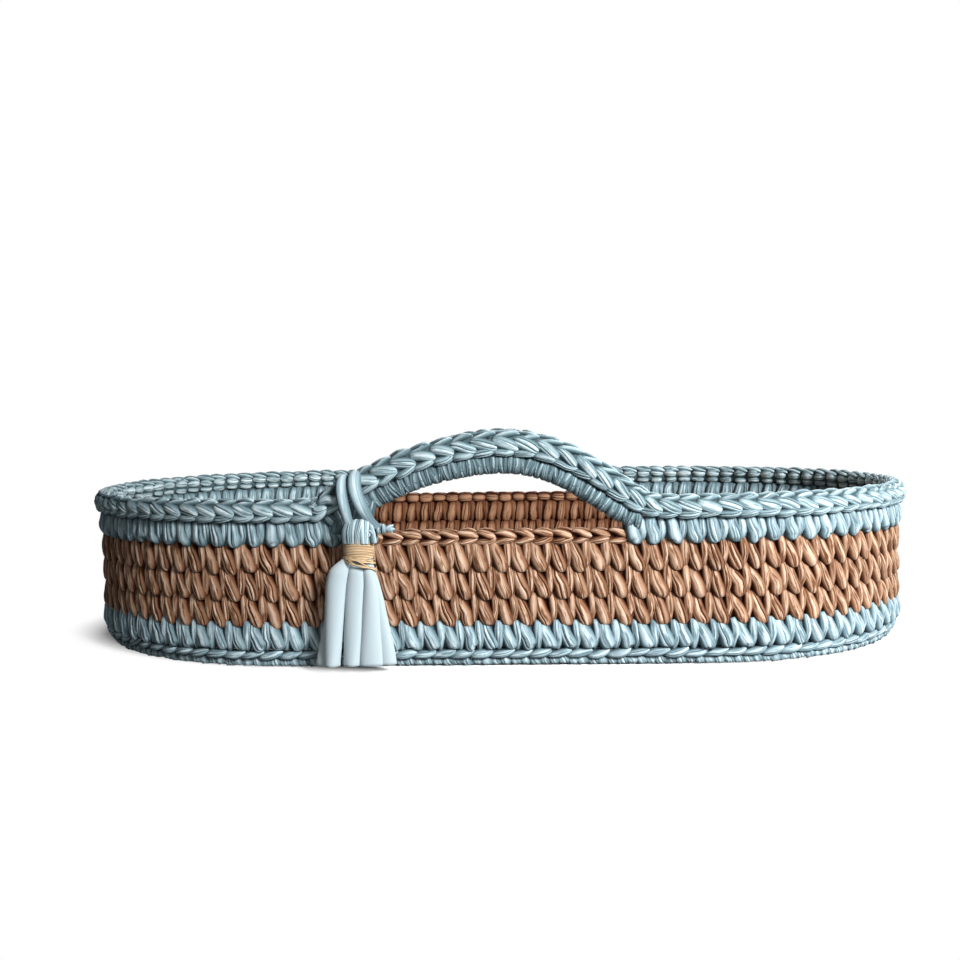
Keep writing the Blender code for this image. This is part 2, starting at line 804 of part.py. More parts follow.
add_board(birch)
add_round("foundation_round", oval(board_edge_inset - board_drop_clearance), 0.0, foundation_section(), blue_yarn)
add_round(
    "foot_chain", oval(foot_chain_inset + foot_chain_depth / 2), foot_chain_bottom,
    scaled_section(chain_section_shares, foot_chain_depth, foot_chain_height - seam_gap), blue_yarn,
)
add_wall_round(
    "blue_round_lower", lower_blue_inset, lower_blue_depth, lower_blue_bottom, lower_blue_height, blue_yarn,
)
for level, tan_name in enumerate(("tan_round_lower", "tan_round_middle", "tan_round_upper")):
    add_wall_round(tan_name, tan_inset, tan_depth, tan_bottom + level * tan_height, tan_height, tan_yarn)
for side, side_name, edge_x, hole_x in (
    (-1, "left", hinge_left_x, hole_left_x), (1, "right", hinge_right_x, hole_right_x),
):
    add_round(
        "blue_round_upper_" + side_name,
        wall_points(side, upper_blue_inset + upper_blue_depth / 2, hole_x),
        upper_blue_bottom,
        scaled_section(round_section_shares, upper_blue_depth, upper_blue_height - seam_gap),
        blue_yarn, cyclic=False,
    )
    add_rim("rim_braid_" + side_name, side, edge_x + side * seam_gap / 2, blue_yarn)
for face, face_name in ((-1, "front"), (1, "rear")):
    add_sill(face_name + "_sill_chain", face, tan_yarn)
    add_handle(face_name, face, blue_yarn, blue_yarn, rope)
    add_foot_wrap(
        face_name + "_foot_wrap_left", face, hinge_left_x - seam_gap / 2,
        hole_left_x - foot_left_reach, hole_left_x, blue_yarn,
    )
    add_foot_wrap(
        face_name + "_foot_wrap_right", face, hinge_right_x + seam_gap / 2,
        hole_right_x + foot_right_reach, hole_right_x, blue_yarn,
    )
add_strand(
    "tassel_loop_left", left_strand_offset, left_strand_end_offset, left_strand_return_offset, pale_yarn,
)
add_strand(
    "tassel_loop_right", right_strand_offset, right_strand_end_offset, right_strand_return_offset, pale_yarn,
)
add_tassel({"blue": blue_yarn, "skirt": pale_yarn, "gold": gold_thread})
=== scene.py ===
"""Looks of a crocheted moses basket: jersey-yarn rounds on a drilled board, two wound handles and a tassel.

Metres, in the CAD frame: +X along the basket, -Y the front with the tassel, +Z up, the floor at zero.
"""

import math

import bpy
import numpy as np
from mathutils import Matrix


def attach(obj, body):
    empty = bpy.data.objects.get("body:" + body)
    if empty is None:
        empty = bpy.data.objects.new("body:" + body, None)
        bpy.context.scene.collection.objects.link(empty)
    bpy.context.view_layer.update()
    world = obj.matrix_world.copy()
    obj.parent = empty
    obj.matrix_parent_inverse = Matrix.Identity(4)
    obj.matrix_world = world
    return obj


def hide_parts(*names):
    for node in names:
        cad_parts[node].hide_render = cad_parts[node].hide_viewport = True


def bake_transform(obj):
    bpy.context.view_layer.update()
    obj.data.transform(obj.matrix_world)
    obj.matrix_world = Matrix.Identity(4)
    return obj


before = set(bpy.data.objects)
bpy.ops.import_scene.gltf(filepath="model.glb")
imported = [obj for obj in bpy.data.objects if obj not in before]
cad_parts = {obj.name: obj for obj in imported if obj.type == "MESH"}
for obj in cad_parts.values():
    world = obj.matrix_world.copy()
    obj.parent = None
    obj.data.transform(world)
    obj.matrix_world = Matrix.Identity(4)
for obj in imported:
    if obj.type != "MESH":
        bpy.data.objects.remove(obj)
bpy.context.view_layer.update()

# Camera. It stands in front of the basket's middle, above the rim, and looks slightly down on it. Its place and
# lens are worked out from the outline and from the widths of the stitches in front and behind.
focal_length = 36.8
film_width = 36.0
camera_place = (0.0100, -0.9976, 0.2217)
camera_pan, camera_tilt, camera_roll = 1.53, -4.42, -0.84
lens = bpy.data.cameras.new("camera")
lens.lens = focal_length
lens.sensor_width = film_width
lens.clip_start = 0.02
camera = bpy.data.objects.new("camera", lens)
camera.matrix_world = (
    Matrix.Translation(camera_place)
    @ Matrix.Rotation(math.radians(camera_pan), 4, "Z")
    @ Matrix.Rotation(math.radians(90 + camera_tilt), 4, "X")
    @ Matrix.Rotation(math.radians(camera_roll), 4, "Z")
)
bpy.context.scene.collection.objects.link(camera)
bpy.context.scene.camera = camera
bpy.context.scene.view_settings.view_transform = "Standard"

# Stage. A white studio floor keeps the basket's soft shadow, in a white surround that only the camera sees. A
# soft spot stands high at the right, weaker discs in front and behind, and a weak fill comes from all round.
floor_size = 12.0
floor_roughness = 0.9
floor_bounce = (0.26, 0.27, 0.28, 1.0)
studio_white = (1.0, 1.0, 1.0, 1.0)
fill_colour = (1.0, 0.97, 0.93, 1.0)
fill_strength = 0.06
# The shadow is kept in an oval round the basket, with half axes of one over these, and fades out at its edge.
shadow_oval = (2.6, 5.4, 1.0)
shadow_edge, shadow_end = 1.0, 1.15
# Each lamp: name, place, aim, width in metres, power in watts and, for a spot, its cone in degrees.
lamps = (
    ("window_right", (1.30, -1.40, 1.10), (0.20, -0.15, 0.10), 0.75, 445.0, 38.0),
    ("soft_front", (0.2, -1.5, 0.65), (0.05, -0.19, 0.08), 0.8, 3.4, None),
    ("soft_rear", (-0.20, 1.90, 0.80), (0.0, 0.19, 0.08), 1.3, 32.0, None),
)


def shader_node(tree, kind, operation=None, **values):
    """A shader node with its operation and its named inputs set."""
    node = tree.nodes.new(kind)
    if operation:
        node.operation = operation
    for name, value in values.items():
        node.inputs[name.replace("_", " ")].default_value = value
    return node


def join(tree, *links):
    """Links in a shader tree, each from a node's output to a node's input."""
    for source, output, target, entry in links:
        tree.links.new(source.outputs[output], target.inputs[entry])


def new_material(name, roughness):
    material = bpy.data.materials.new(name)
    material.use_nodes = True
    shader = material.node_tree.nodes["Principled BSDF"]
    shader.inputs["Roughness"].default_value = roughness
    return material, material.node_tree, shader


def make_studio_white():
    """White paint, whose bounce on the basket is weaker than the white that the camera sees."""
    material, tree, shader = new_material("studio_white", floor_roughness)
    shader.inputs["Specular IOR Level"].default_value = 0.0
    path = shader_node(tree, "ShaderNodeLightPath")
    bounce = shader_node(tree, "ShaderNodeMix")
    bounce.data_type = "RGBA"
    bounce.inputs[6].default_value = floor_bounce
    bounce.inputs[7].default_value = studio_white
    # Away from the basket the floor meets the surround with no line between them.
    place = shader_node(tree, "ShaderNodeTexCoord")
    squeeze = shader_node(tree, "ShaderNodeMapping", Scale=shadow_oval)
    reach = shader_node(tree, "ShaderNodeVectorMath", "LENGTH")
    fade = shader_node(tree, "ShaderNodeMapRange", From_Min=shadow_edge, From_Max=shadow_end)
    fade.interpolation_type = "SMOOTHSTEP"
    seen = shader_node(tree, "ShaderNodeMath", "MULTIPLY")
    glow = shader_node(tree, "ShaderNodeEmission")
    mix = shader_node(tree, "ShaderNodeMixShader")
    join(
        tree, (path, "Is Camera Ray", bounce, 0), (bounce, 2, shader, "Base Color"),
        (place, "Object", squeeze, "Vector"), (squeeze, "Vector", reach, 0), (reach, "Value", fade, "Value"),
        (fade, "Result", seen, 0), (path, "Is Camera Ray", seen, 1), (seen, "Value", mix, "Fac"),
        (shader, "BSDF", mix, 1), (glow, "Emission", mix, 2),
        (mix, "Shader", tree.nodes["Material Output"], "Surface"),
    )
    return material


def add_floor():
    half = floor_size / 2
    mesh = bpy.data.meshes.new("studio_floor")
    corners = [(-half, -half, 0), (half, -half, 0), (half, half, 0), (-half, half, 0)]
    mesh.from_pydata(corners, [], [(0, 1, 2, 3)])
    mesh.materials.append(make_studio_white())
    floor = bpy.data.objects.new("studio_floor", mesh)
    bpy.context.scene.collection.objects.link(floor)


def add_surround():
    world = bpy.data.worlds.new("studio_surround")
    bpy.context.scene.world = world
    world.use_nodes = True
    tree = world.node_tree
    tree.nodes.clear()
    path = shader_node(tree, "ShaderNodeLightPath")
    fill = shader_node(tree, "ShaderNodeBackground", Color=fill_colour, Strength=fill_strength)
    white = shader_node(tree, "ShaderNodeBackground", Color=studio_white, Strength=1.0)
    mix = shader_node(tree, "ShaderNodeMixShader")
    out = shader_node(tree, "ShaderNodeOutputWorld")
    join(
        tree, (path, "Is Camera Ray", mix, "Fac"), (fill, "Background", mix, 1), (white, "Background", mix, 2),
        (mix, "Shader", out, "Surface"),
    )


def add_lamp(name, place, aim, size, power, cone):
    """A soft disc or, where it has a cone, a soft spot whose light fades towards the cone's edge."""
    data = bpy.data.lights.new(name, "SPOT" if cone else "AREA")
    data.energy = power
    if cone:
        data.spot_size = math.radians(cone)
        data.spot_blend = 1.0
        data.shadow_soft_size = size / 2
    else:
        data.shape = "DISK"
        data.size = size
    lamp = bpy.data.objects.new(name, data)
    back = np.array(place, float) - np.array(aim, float)
    back /= np.linalg.norm(back)
    right = np.cross((0.0, 0.0, 1.0), back)
    right /= np.linalg.norm(right)
    lamp.matrix_world = Matrix((*zip(right, np.cross(back, right), back, place), (0, 0, 0, 1)))
    bpy.context.scene.collection.objects.link(lamp)


add_floor()
add_surround()
for lamp in lamps:
    add_lamp(*lamp)

# Base board. A drilled oval of birch plywood, 4 mm thick, sanded and left bare. It keeps the base flat, and the
# lowest round of yarn is worked through the holes along its edge.
birch_pale = (0.74, 0.56, 0.37, 1.0)
birch_dark = (0.55, 0.37, 0.21, 1.0)
grain_stretch = (5.0, 60.0, 60.0)
grain_limits = (0.35, 0.62)


def make_birch():
    material, tree, shader = new_material("birch_plywood", 0.5)
    place = shader_node(tree, "ShaderNodeTexCoord")
    stretch = shader_node(tree, "ShaderNodeMapping", Scale=grain_stretch)
    grain = shader_node(tree, "ShaderNodeTexNoise", Scale=6.0, Detail=6.0, Roughness=0.6, Distortion=0.4)
    fine = shader_node(tree, "ShaderNodeTexNoise", Scale=60.0, Detail=3.0)
    ramp = shader_node(tree, "ShaderNodeValToRGB")
    for stop, limit, colour in zip(ramp.color_ramp.elements, grain_limits, (birch_dark, birch_pale)):
        stop.position = limit
        stop.color = colour
    rough = shader_node(tree, "ShaderNodeMapRange", To_Min=0.42, To_Max=0.62)
    bump = shader_node(tree, "ShaderNodeBump", Strength=0.25, Distance=0.0004)
    join(
        tree, (place, "Object", stretch, "Vector"), (stretch, "Vector", grain, "Vector"),
        (stretch, "Vector", fine, "Vector"), (grain, "Fac", ramp, "Fac"), (ramp, "Color", shader, "Base Color"),
        (fine, "Fac", rough, "Value"), (rough, "Result", shader, "Roughness"), (fine, "Fac", bump, "Height"),
        (bump, "Normal", shader, "Normal"),
    )
    return material


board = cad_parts["base_board"]
board.data.materials.clear()
board.data.materials.append(make_birch())

# Foundation round. Blue jersey yarn passes through the board's holes and over its edge as short upright wraps.
# The sizes of the whole wall are here too, because every round above follows the same oval.
half_width = 0.190
end_length = 0.2185
straight_half = 0.1815
end_points = 1200
stitches = 118
foundation_middle_inset = 0.0125
foundation_lip = 0.0122
foundation_lean = 0.0015
blue_ridge = (0.55, 0.65, 0.688, 1.0)
# The colour of the shade painted in the blue yarn's creases, sides and underside.
blue_crease_shade = (0.070, 0.108, 0.123, 1.0)
# A strand's top has this many folds, each with these shares as its points, and its underside has these plain
# points (across, up), in half widths and half thicknesses.
around_folds = 3
fold_samples = (0.0, 0.2, 0.5, 0.8)
plain_side = ((1.0, 0.0), (0.62, -0.72), (0.0, -0.95), (-0.62, -0.72))
narrowest_fold, fold_spread = 0.45, 1.3
flattest_crease, crease_spread, deepest_crease = 0.06, 1.2, 0.80
# The creases fade where a piece comes out of the work and where it goes in again: (share of its length, depth).
crease_fade = ((0, 0.7), (0.08, 1), (0.88, 0.95), (1, 0.35))
underside_offset = 0.02
core_step = 0.008
# A leaf's points differ from stitch to stitch by these shares of the jitter, and its size by this spread.
jitter_shares = (1.0, 0.5, 0.7)
size_spread, size_limit = 0.08, 0.15
# In the map for baking, a piece fills this share of its cell past this margin, with a small disc for each end.
cell_share, cell_margin = (0.94, 0.80), (0.03, 0.10)
disc_radius, disc_places = 0.03, (0.05, 0.95)
rng = np.random.default_rng(11)


def unit(vectors):
    return vectors / np.maximum(np.linalg.norm(vectors, axis=-1, keepdims=True), 1e-12)


def oval_line(inset, height=0.0):
    """The oval at an inset, as a line that can be read by length. It runs to the right as seen from outside."""
    a, b = end_length - inset, half_width - inset
    t = np.linspace(-math.pi / 2, math.pi / 2, end_points)
    x = np.concatenate(([0], straight_half + a * np.cos(t), -straight_half - a * np.cos(t), [0]))
    y = np.concatenate(([-b], b * np.sin(t), -b * np.sin(t), [-b]))
    return line_through(np.stack([x, y, np.full(len(x), height)], 1))


def line_through(points):
    """Lengths, outward and upward sides of a closed line. Its last point repeats the first."""
    step = np.linalg.norm(np.diff(points, axis=0), axis=1)
    points = points[np.concatenate(([True], step > 1e-9))]
    length = np.concatenate(([0], np.cumsum(np.linalg.norm(np.diff(points, axis=0), axis=1))))
    run = np.roll(points[:-1], -1, axis=0) - np.roll(points[:-1], 1, axis=0)
    run = unit(np.concatenate((run, run[:1])))
    out = unit(np.stack([run[:, 1], -run[:, 0], np.zeros(len(run))], 1))
    return {"length": length, "place": points, "out": out, "up": np.cross(out, run), "total": length[-1]}


def read_line(line, key, s):
    s = np.mod(s, line["total"])
    return np.stack([np.interp(s, line["length"], line[key][:, axis]) for axis in range(3)], -1)


def at_line(line, s, out, up):
    """Points at a length along a line, so far outwards and so far up from it."""
    out, up = np.asarray(out)[..., None], np.asarray(up)[..., None]
    return read_line(line, "place", s) + read_line(line, "out", s) * out + read_line(line, "up", s) * up


def read_table(table, t, column=1):
    """A column of a table at shares t. The table's first column holds its own shares."""
    table = np.asarray(table, float)
    return np.interp(t, table[:, 0], table[:, column])


def smooth_through(points, t):
    """Read a smooth line through points, t from 0 to 1. Points may carry leading axes."""
    points = np.asarray(points, float)
    spans = points.shape[-2] - 1
    place = np.clip(np.asarray(t) * spans, 0, spans - 1e-9)
    i = place.astype(int)
    f = (place - i)[:, None]
    p0 = points[..., np.maximum(i - 1, 0), :]
    p1 = points[..., i, :]
    p2 = points[..., i + 1, :]
    p3 = points[..., np.minimum(i + 2, spans), :]
    return 0.5 * (
        2 * p1 + (p2 - p0) * f + (2 * p0 - 5 * p1 + 4 * p2 - p3) * f * f
        + (3 * p1 - p0 - 3 * p2 + p3) * f * f * f
    )


def yarn(centre, facing, width, thick, crease=0.45, cyclic=False, tuck_shade=None):
    """Soft yarn along middle lines [piece, ring, 3]: a folded top that faces one way, a plain underside. Width
    and thickness are halves, crease is the depth of its folds, and tuck_shade is the least shade painted on
    each ring."""
    pieces, rings = centre.shape[:2]
    width = np.broadcast_to(width, (pieces, rings))[..., None]
    thick = np.broadcast_to(thick, (pieces, rings))[..., None]
    if cyclic:
        along = unit(np.roll(centre, -1, axis=1) - np.roll(centre, 1, axis=1))
    else:
        along = unit(np.gradient(centre, axis=1))
    side = unit(np.cross(np.broadcast_to(facing, centre.shape), along))
    top = np.cross(along, side)

    # The folds differ in width, and their edges wander from one end of a piece to the other.
    t = np.linspace(0, 1, rings)
    edges = []
    for _ in range(2):
        parts = narrowest_fold + fold_spread * rng.random((pieces, around_folds))
        parts = np.concatenate((np.zeros((pieces, 1)), np.cumsum(parts, 1)), 1)
        edges.append((parts / parts[:, -1:] * 2 - 1)[:, None, :])
    if cyclic:
        fold_edge = np.repeat(edges[0], rings, 1)
    else:
        fold_edge = edges[0] * (1 - t)[None, :, None] + edges[1] * t[None, :, None]
    depth = crease * (flattest_crease + crease_spread * rng.random((pieces, around_folds + 1)) ** 2.0)
    depth = np.minimum(depth, deepest_crease)
    depth[:, 0] = depth[:, -1] = 0
    fade = np.ones(rings) if cyclic else read_table(crease_fade, t)

    # Shade is painted into a strand's colour: in its creases, at its sides, where it turns away, and all over
    # its underside.
    across, rise, shade = [], [], []
    for fold in range(around_folds):
        for share in fold_samples:
            u = fold_edge[:, :, fold] * (1 - share) + fold_edge[:, :, fold + 1] * share
            dip = depth[:, fold][:, None] * fade[None, :] if share == 0 else 0.0
            envelope = np.sqrt(np.maximum(0, 1 - u * u))
            across.append(u)
            rise.append(envelope * (1 - 0.75 * dip))
            shade.append(np.clip(np.maximum(2.3 * dip, (1 - envelope) ** 0.9 * 1.5), 0, 1))
    for u, v in plain_side:
        for values, value in ((across, u), (rise, v), (shade, 1.0)):
            values.append(np.full((pieces, rings), value))
    across, rise, shade = (np.stack(part, -1) for part in (across, rise, shade))
    if tuck_shade is not None:
        shade = np.maximum(shade, np.broadcast_to(tuck_shade, (pieces, rings))[..., None])
    place = (
        centre[:, :, None, :] + side[:, :, None, :] * (across * width)[..., None]
        + top[:, :, None, :] * (rise * thick)[..., None]
    )
    run = np.cumsum(np.linalg.norm(np.diff(centre, axis=1), axis=2), 1)
    run = np.concatenate((np.zeros((pieces, 1)), run), 1)
    strand = np.stack([
        across * width + np.where(rise < 0, underside_offset, 0.0),
        np.broadcast_to(run[:, :, None], across.shape),
        np.broadcast_to(rng.random((pieces, 1, 1)), across.shape),
    ], -1)
    return {"place": place, "shade": shade, "strand": strand, "cyclic": cyclic}


def yarn_object(name, groups, material):
    """One mesh of many yarn pieces, with its own map for baking: a cell for each piece."""
    total = sum(len(group["place"]) for group in groups)
    columns = math.ceil(math.sqrt(total))
    rows = math.ceil(total / columns)
    cell_size = np.array([1 / columns, 1 / rows])
    co, strand, shade, loops, counts, uv = [], [], [], [], [], []
    first, piece = 0, 0
    for group in groups:
        pieces, rings, sides = group["place"].shape[:3]
        index = first + np.arange(pieces * rings * sides).reshape(pieces, rings, sides)
        beside = np.roll(index, -1, 2)
        spans = rings if group["cyclic"] else rings - 1
        quads = np.stack([index, np.roll(index, -1, 1), np.roll(beside, -1, 1), beside], -1)[:, :spans]
        cell = np.arange(piece, piece + pieces)
        corner = np.stack([(cell % columns) / columns, (cell // columns) / rows], -1)
        local = np.zeros((pieces, spans, sides, 4, 2))
        for i, (across, along) in enumerate(((0, 0), (0, 1), (1, 1), (1, 0))):
            local[..., i, 0] = (np.arange(sides) + across)[None, None, :] / sides
            local[..., i, 1] = (np.arange(spans) + along)[None, :, None] / spans
        local = local * np.array(cell_share) + np.array(cell_margin)
        loops.append(quads.reshape(-1))
        counts.append(np.full(quads.size // 4, 4))
        uv.append((corner[:, None, None, None, :] + local * cell_size).reshape(-1, 2))
        if not group["cyclic"]:
            turn = 2 * math.pi * np.arange(sides) / sides
            disc = np.stack([np.cos(turn), np.sin(turn)], -1)
            for ring, y, order in zip((0, rings - 1), disc_places, (1, -1)):
                cap = disc[::order] * disc_radius + np.array([0.5, y])
                loops.append(index[:, ring, ::order].reshape(-1))
                counts.append(np.full(pieces, sides))
                uv.append((corner[:, None, :] + cap[None] * cell_size).reshape(-1, 2))
        co.append(group["place"].reshape(-1, 3))
        strand.append(group["strand"].reshape(-1, 3))
        shade.append(group["shade"].reshape(-1))
        first += pieces * rings * sides
        piece += pieces
    co, strand, shade, loops, counts, uv = (
        np.concatenate(part) for part in (co, strand, shade, loops, counts, uv)
    )
    mesh = bpy.data.meshes.new(name)
    mesh.vertices.add(len(co))
    mesh.loops.add(len(loops))
    mesh.polygons.add(len(counts))
    mesh.vertices.foreach_set("co", co.astype(np.float32).reshape(-1))
    mesh.loops.foreach_set("vertex_index", loops.astype(np.int32))
    mesh.polygons.foreach_set("loop_start", (np.cumsum(counts) - counts).astype(np.int32))
    mesh.update(calc_edges=True)
    mesh.validate()
    mesh.shade_smooth()
    bake = mesh.uv_layers.new(name="OFBake")
    bake.data.foreach_set("uv", uv.astype(np.float32).reshape(-1))
    for label, kind, key, values in (
        ("shade", "FLOAT", "value", shade), ("strand", "FLOAT_VECTOR", "vector", strand),
    ):
        attribute = mesh.attributes.new(label, kind, "POINT")
        attribute.data.foreach_set(key, values.astype(np.float32).reshape(-1))
    mesh.materials.append(material)
    item = bpy.data.objects.new(name, mesh)
    bpy.context.scene.collection.objects.link(item)
    return item


def rings_close_at_ends(count):
    """Shares along a piece, closer together at both ends."""
    t = np.linspace(0, 1, count)
    return 0.45 * t + 0.55 * (1 - np.cos(math.pi * t)) / 2


def leaves(
    line, at, shape, profile, pitch=1.0, faces=(0.0,), crease=0.45, jitter=0.0006, rings=10, tuck_shade=None,
    lift=None,
):
    """One leaf at each length in `at`: shape holds points (along, out, up) on its middle line, with along in
    pitches, profile holds (share, half width, half thickness), faces the angle of its top from outwards to
    upwards, in degrees, and tuck_shade (share, painted shade), the shade painted where a leaf goes under or
    comes out from under its neighbours. Where lift is given, it says how much taller the line's section is at a
    length."""
    t = rings_close_at_ends(rings)
    points = np.repeat((np.asarray(shape, float) * np.array([pitch, 1.0, 1.0]))[None], len(at), 0)
    points = points + rng.normal(0, jitter, points.shape) * np.array(jitter_shares)
    middle = smooth_through(points, t)
    size = 1 + np.clip(rng.normal(0, size_spread, (len(at), 1)), -size_limit, size_limit)
    width = read_table(profile, t)[None] * size
    thick = read_table(profile, t, 2)[None] * np.sqrt(size)
    s = at[:, None] + middle[..., 0]
    rise = middle[..., 2] if lift is None else middle[..., 2] * lift(s)
    centre = at_line(line, s, middle[..., 1], rise)
    angle = np.radians(np.interp(t, np.linspace(0, 1, len(faces)), faces))[None, :, None]
    facing = read_line(line, "out", s) * np.cos(angle) + read_line(line, "up", s) * np.sin(angle)
    return yarn(centre, facing, width, thick, crease, tuck_shade=None if tuck_shade is None else read_table(tuck_shade, t)[None])


def core(line, first, last, out, up, half_out, half_up):
    """Plain yarn carried inside a round, which closes it between the stitches. It is painted all in shade."""
    closed = abs(last - first - line["total"]) < 1e-6
    count = max(4, int((last - first) / core_step))
    s = np.linspace(first, last, count, endpoint=not closed)[None]
    centre = at_line(line, s, out, up)
    return yarn(centre, read_line(line, "out", s), half_up, half_out, 0.0, cyclic=closed, tuck_shade=1.0)


def make_yarn_group():
    """Jersey yarn: shade is painted into its colour, in its creases and in long streaks where its long creases
    lie low, and its colour differs a little from piece to piece. Long creases and fine knit are its height."""
    group = bpy.data.node_groups.new("jersey_yarn", "ShaderNodeTree")
    for label, kind, way in (
        ("Ridge", "Color", "INPUT"), ("Crease shade", "Color", "INPUT"), ("Streaks", "Float", "INPUT"),
        ("Color", "Color", "OUTPUT"), ("Roughness", "Float", "OUTPUT"), ("Height", "Float", "OUTPUT"),
    ):
        group.interface.new_socket(label, in_out=way, socket_type="NodeSocket" + kind)
    source = shader_node(group, "NodeGroupInput")
    result = shader_node(group, "NodeGroupOutput")
    strand = shader_node(group, "ShaderNodeAttribute")
    strand.attribute_name = "strand"
    shade = shader_node(group, "ShaderNodeAttribute")
    shade.attribute_name = "shade"

    # Long creases run with the strand, so the noise is stretched along it.
    long_map = shader_node(group, "ShaderNodeMapping", Scale=(520.0, 60.0, 37.0))
    long_noise = shader_node(group, "ShaderNodeTexNoise", Scale=1.0, Detail=3.0, Roughness=0.55)
    knit_map = shader_node(group, "ShaderNodeMapping", Scale=(3600.0, 2200.0, 11.0))
    knit_noise = shader_node(group, "ShaderNodeTexNoise", Scale=1.0, Detail=2.0, Roughness=0.5)
    for mapping, noise in ((long_map, long_noise), (knit_map, knit_noise)):
        join(group, (strand, "Vector", mapping, "Vector"), (mapping, "Vector", noise, "Vector"))

    # Painted shade in long streaks, where the stretched noise, which also gives the long creases their height,
    # is low.
    dark = shader_node(group, "ShaderNodeMapRange", From_Min=0.54, From_Max=0.36)
    deep = shader_node(group, "ShaderNodeMath", "POWER")
    deep.inputs[1].default_value = 0.84
    total = shader_node(group, "ShaderNodeMath", "MAXIMUM")
    # Painted bounce light: in its hollows cloth lights itself, so the painted shade makes its colour deeper
    # before it makes it dark.
    bounce = shader_node(group, "ShaderNodeMapRange", To_Min=1.0, To_Max=3.5)
    rich = shader_node(group, "ShaderNodeGamma")
    blend = shader_node(group, "ShaderNodeMix")
    blend.data_type = "RGBA"
    parts = shader_node(group, "ShaderNodeSeparateXYZ")
    vary = shader_node(group, "ShaderNodeMapRange", To_Min=0.90, To_Max=1.07)
    tone = shader_node(group, "ShaderNodeHueSaturation")
    join(
        group, (long_noise, "Fac", dark, "Value"), (source, "Streaks", dark, "To Max"), (shade, "Fac", deep, 0),
        (deep, "Value", total, 0), (dark, "Result", total, 1), (total, "Value", bounce, "Value"),
        (bounce, "Result", rich, "Gamma"), (source, "Ridge", rich, "Color"), (total, "Value", blend, 0),
        (rich, "Color", blend, 6), (source, "Crease shade", blend, 7), (strand, "Vector", parts, "Vector"),
        (parts, "Z", vary, "Value"), (vary, "Result", tone, "Value"), (blend, 2, tone, "Color"),
        (tone, "Color", result, "Color"),
    )

    rough = shader_node(group, "ShaderNodeMapRange", From_Min=0.3, From_Max=0.7, To_Min=0.62, To_Max=0.88)
    knit = shader_node(group, "ShaderNodeMath", "MULTIPLY")
    knit.inputs[1].default_value = 0.16
    height = shader_node(group, "ShaderNodeMath", "ADD")
    join(
        group, (knit_noise, "Fac", rough, "Value"), (rough, "Result", result, "Roughness"),
        (knit_noise, "Fac", knit, 0), (long_noise, "Fac", height, 0), (knit, "Value", height, 1),
        (height, "Value", result, "Height"),
    )
    return group


yarn_group = make_yarn_group()


# Ridge is the yarn's own colour, crease is the colour of the shade painted into it, and streak_shade is how
# dark the painted streaks grow.
def make_yarn(name, ridge, crease, streak_shade=0.62, strength=0.60, sheen=0.03):
    material, tree, shader = new_material(name, 0.8)
    look = shader_node(tree, "ShaderNodeGroup")
    look.node_tree = yarn_group
    bump = shader_node(tree, "ShaderNodeBump", Strength=strength, Distance=0.0009)
    for node, label, value in (
        (look, "Ridge", ridge), (look, "Crease shade", crease), (look, "Streaks", streak_shade),
        (shader, "Sheen Weight", sheen), (shader, "Sheen Roughness", 0.5), (shader, "Specular IOR Level", 0.12),
    ):
        node.inputs[label].default_value = value
    join(
        tree, (look, "Color", shader, "Base Color"), (look, "Roughness", shader, "Roughness"),
        (look, "Height", bump, "Height"), (bump, "Normal", shader, "Normal"),
    )
    return material


blue_yarn = make_yarn("blue_jersey_yarn", blue_ridge, blue_crease_shade)


def fasten(item, body, nodes):
    """A piece moves with its body and stands for its nodes, which it hides."""
    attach(item, body)
    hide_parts(*nodes)


def add_foundation():
    line = oval_line(foundation_middle_inset)
    count = 2 * stitches
    at = np.arange(count) * (line["total"] / count)
    lip, lean = -foundation_lip, foundation_lean
    # Each wrap runs out under the board, leans up round its edge and goes back over it.
    shape = (
        (0, lip, 0.0017), (0, lip * 0.5, 0.0017), (lean, -0.0002, 0.0020), (0, 0.0007, 0.0040),
        (-lean, -0.0004, 0.0067), (0, lip * 0.5, 0.0069), (0, lip, 0.0069),
    )
    profile = (
        (0, 0.0030, 0.0008), (0.3, 0.0044, 0.0010), (0.5, 0.0047, 0.0017), (0.7, 0.0044, 0.0009),
        (1, 0.0028, 0.0006),
    )
    faces = (-90, -90, -60, 0, 60, 90, 90)
    wraps = leaves(line, at, shape, profile, faces=faces, crease=0.6, jitter=0.0004, rings=14)
    # The soft wraps press flat on the floor.
    wraps["place"][..., 2] = np.maximum(wraps["place"][..., 2], 0.0)
    item = yarn_object("foundation_wraps", [wraps], blue_yarn)
    fasten(item, "basket", ["foundation_round"])


add_foundation()

# Foot chain. One line of slanting chain leaves in the same blue yarn, slip-stitched on the foundation round. It
# edges the turn from the base to the wall.
foot_bottom = 0.0080
foot_height = 0.0072
foot_inset = 0.0075
foot_depth = 0.0100
foot_phase = 0.26


def stitches_round(line, phase):
    """Lengths of a closed round's stitches, and the length of one."""
    pitch = line["total"] / stitches
    return (np.arange(stitches) + phase) * pitch, pitch


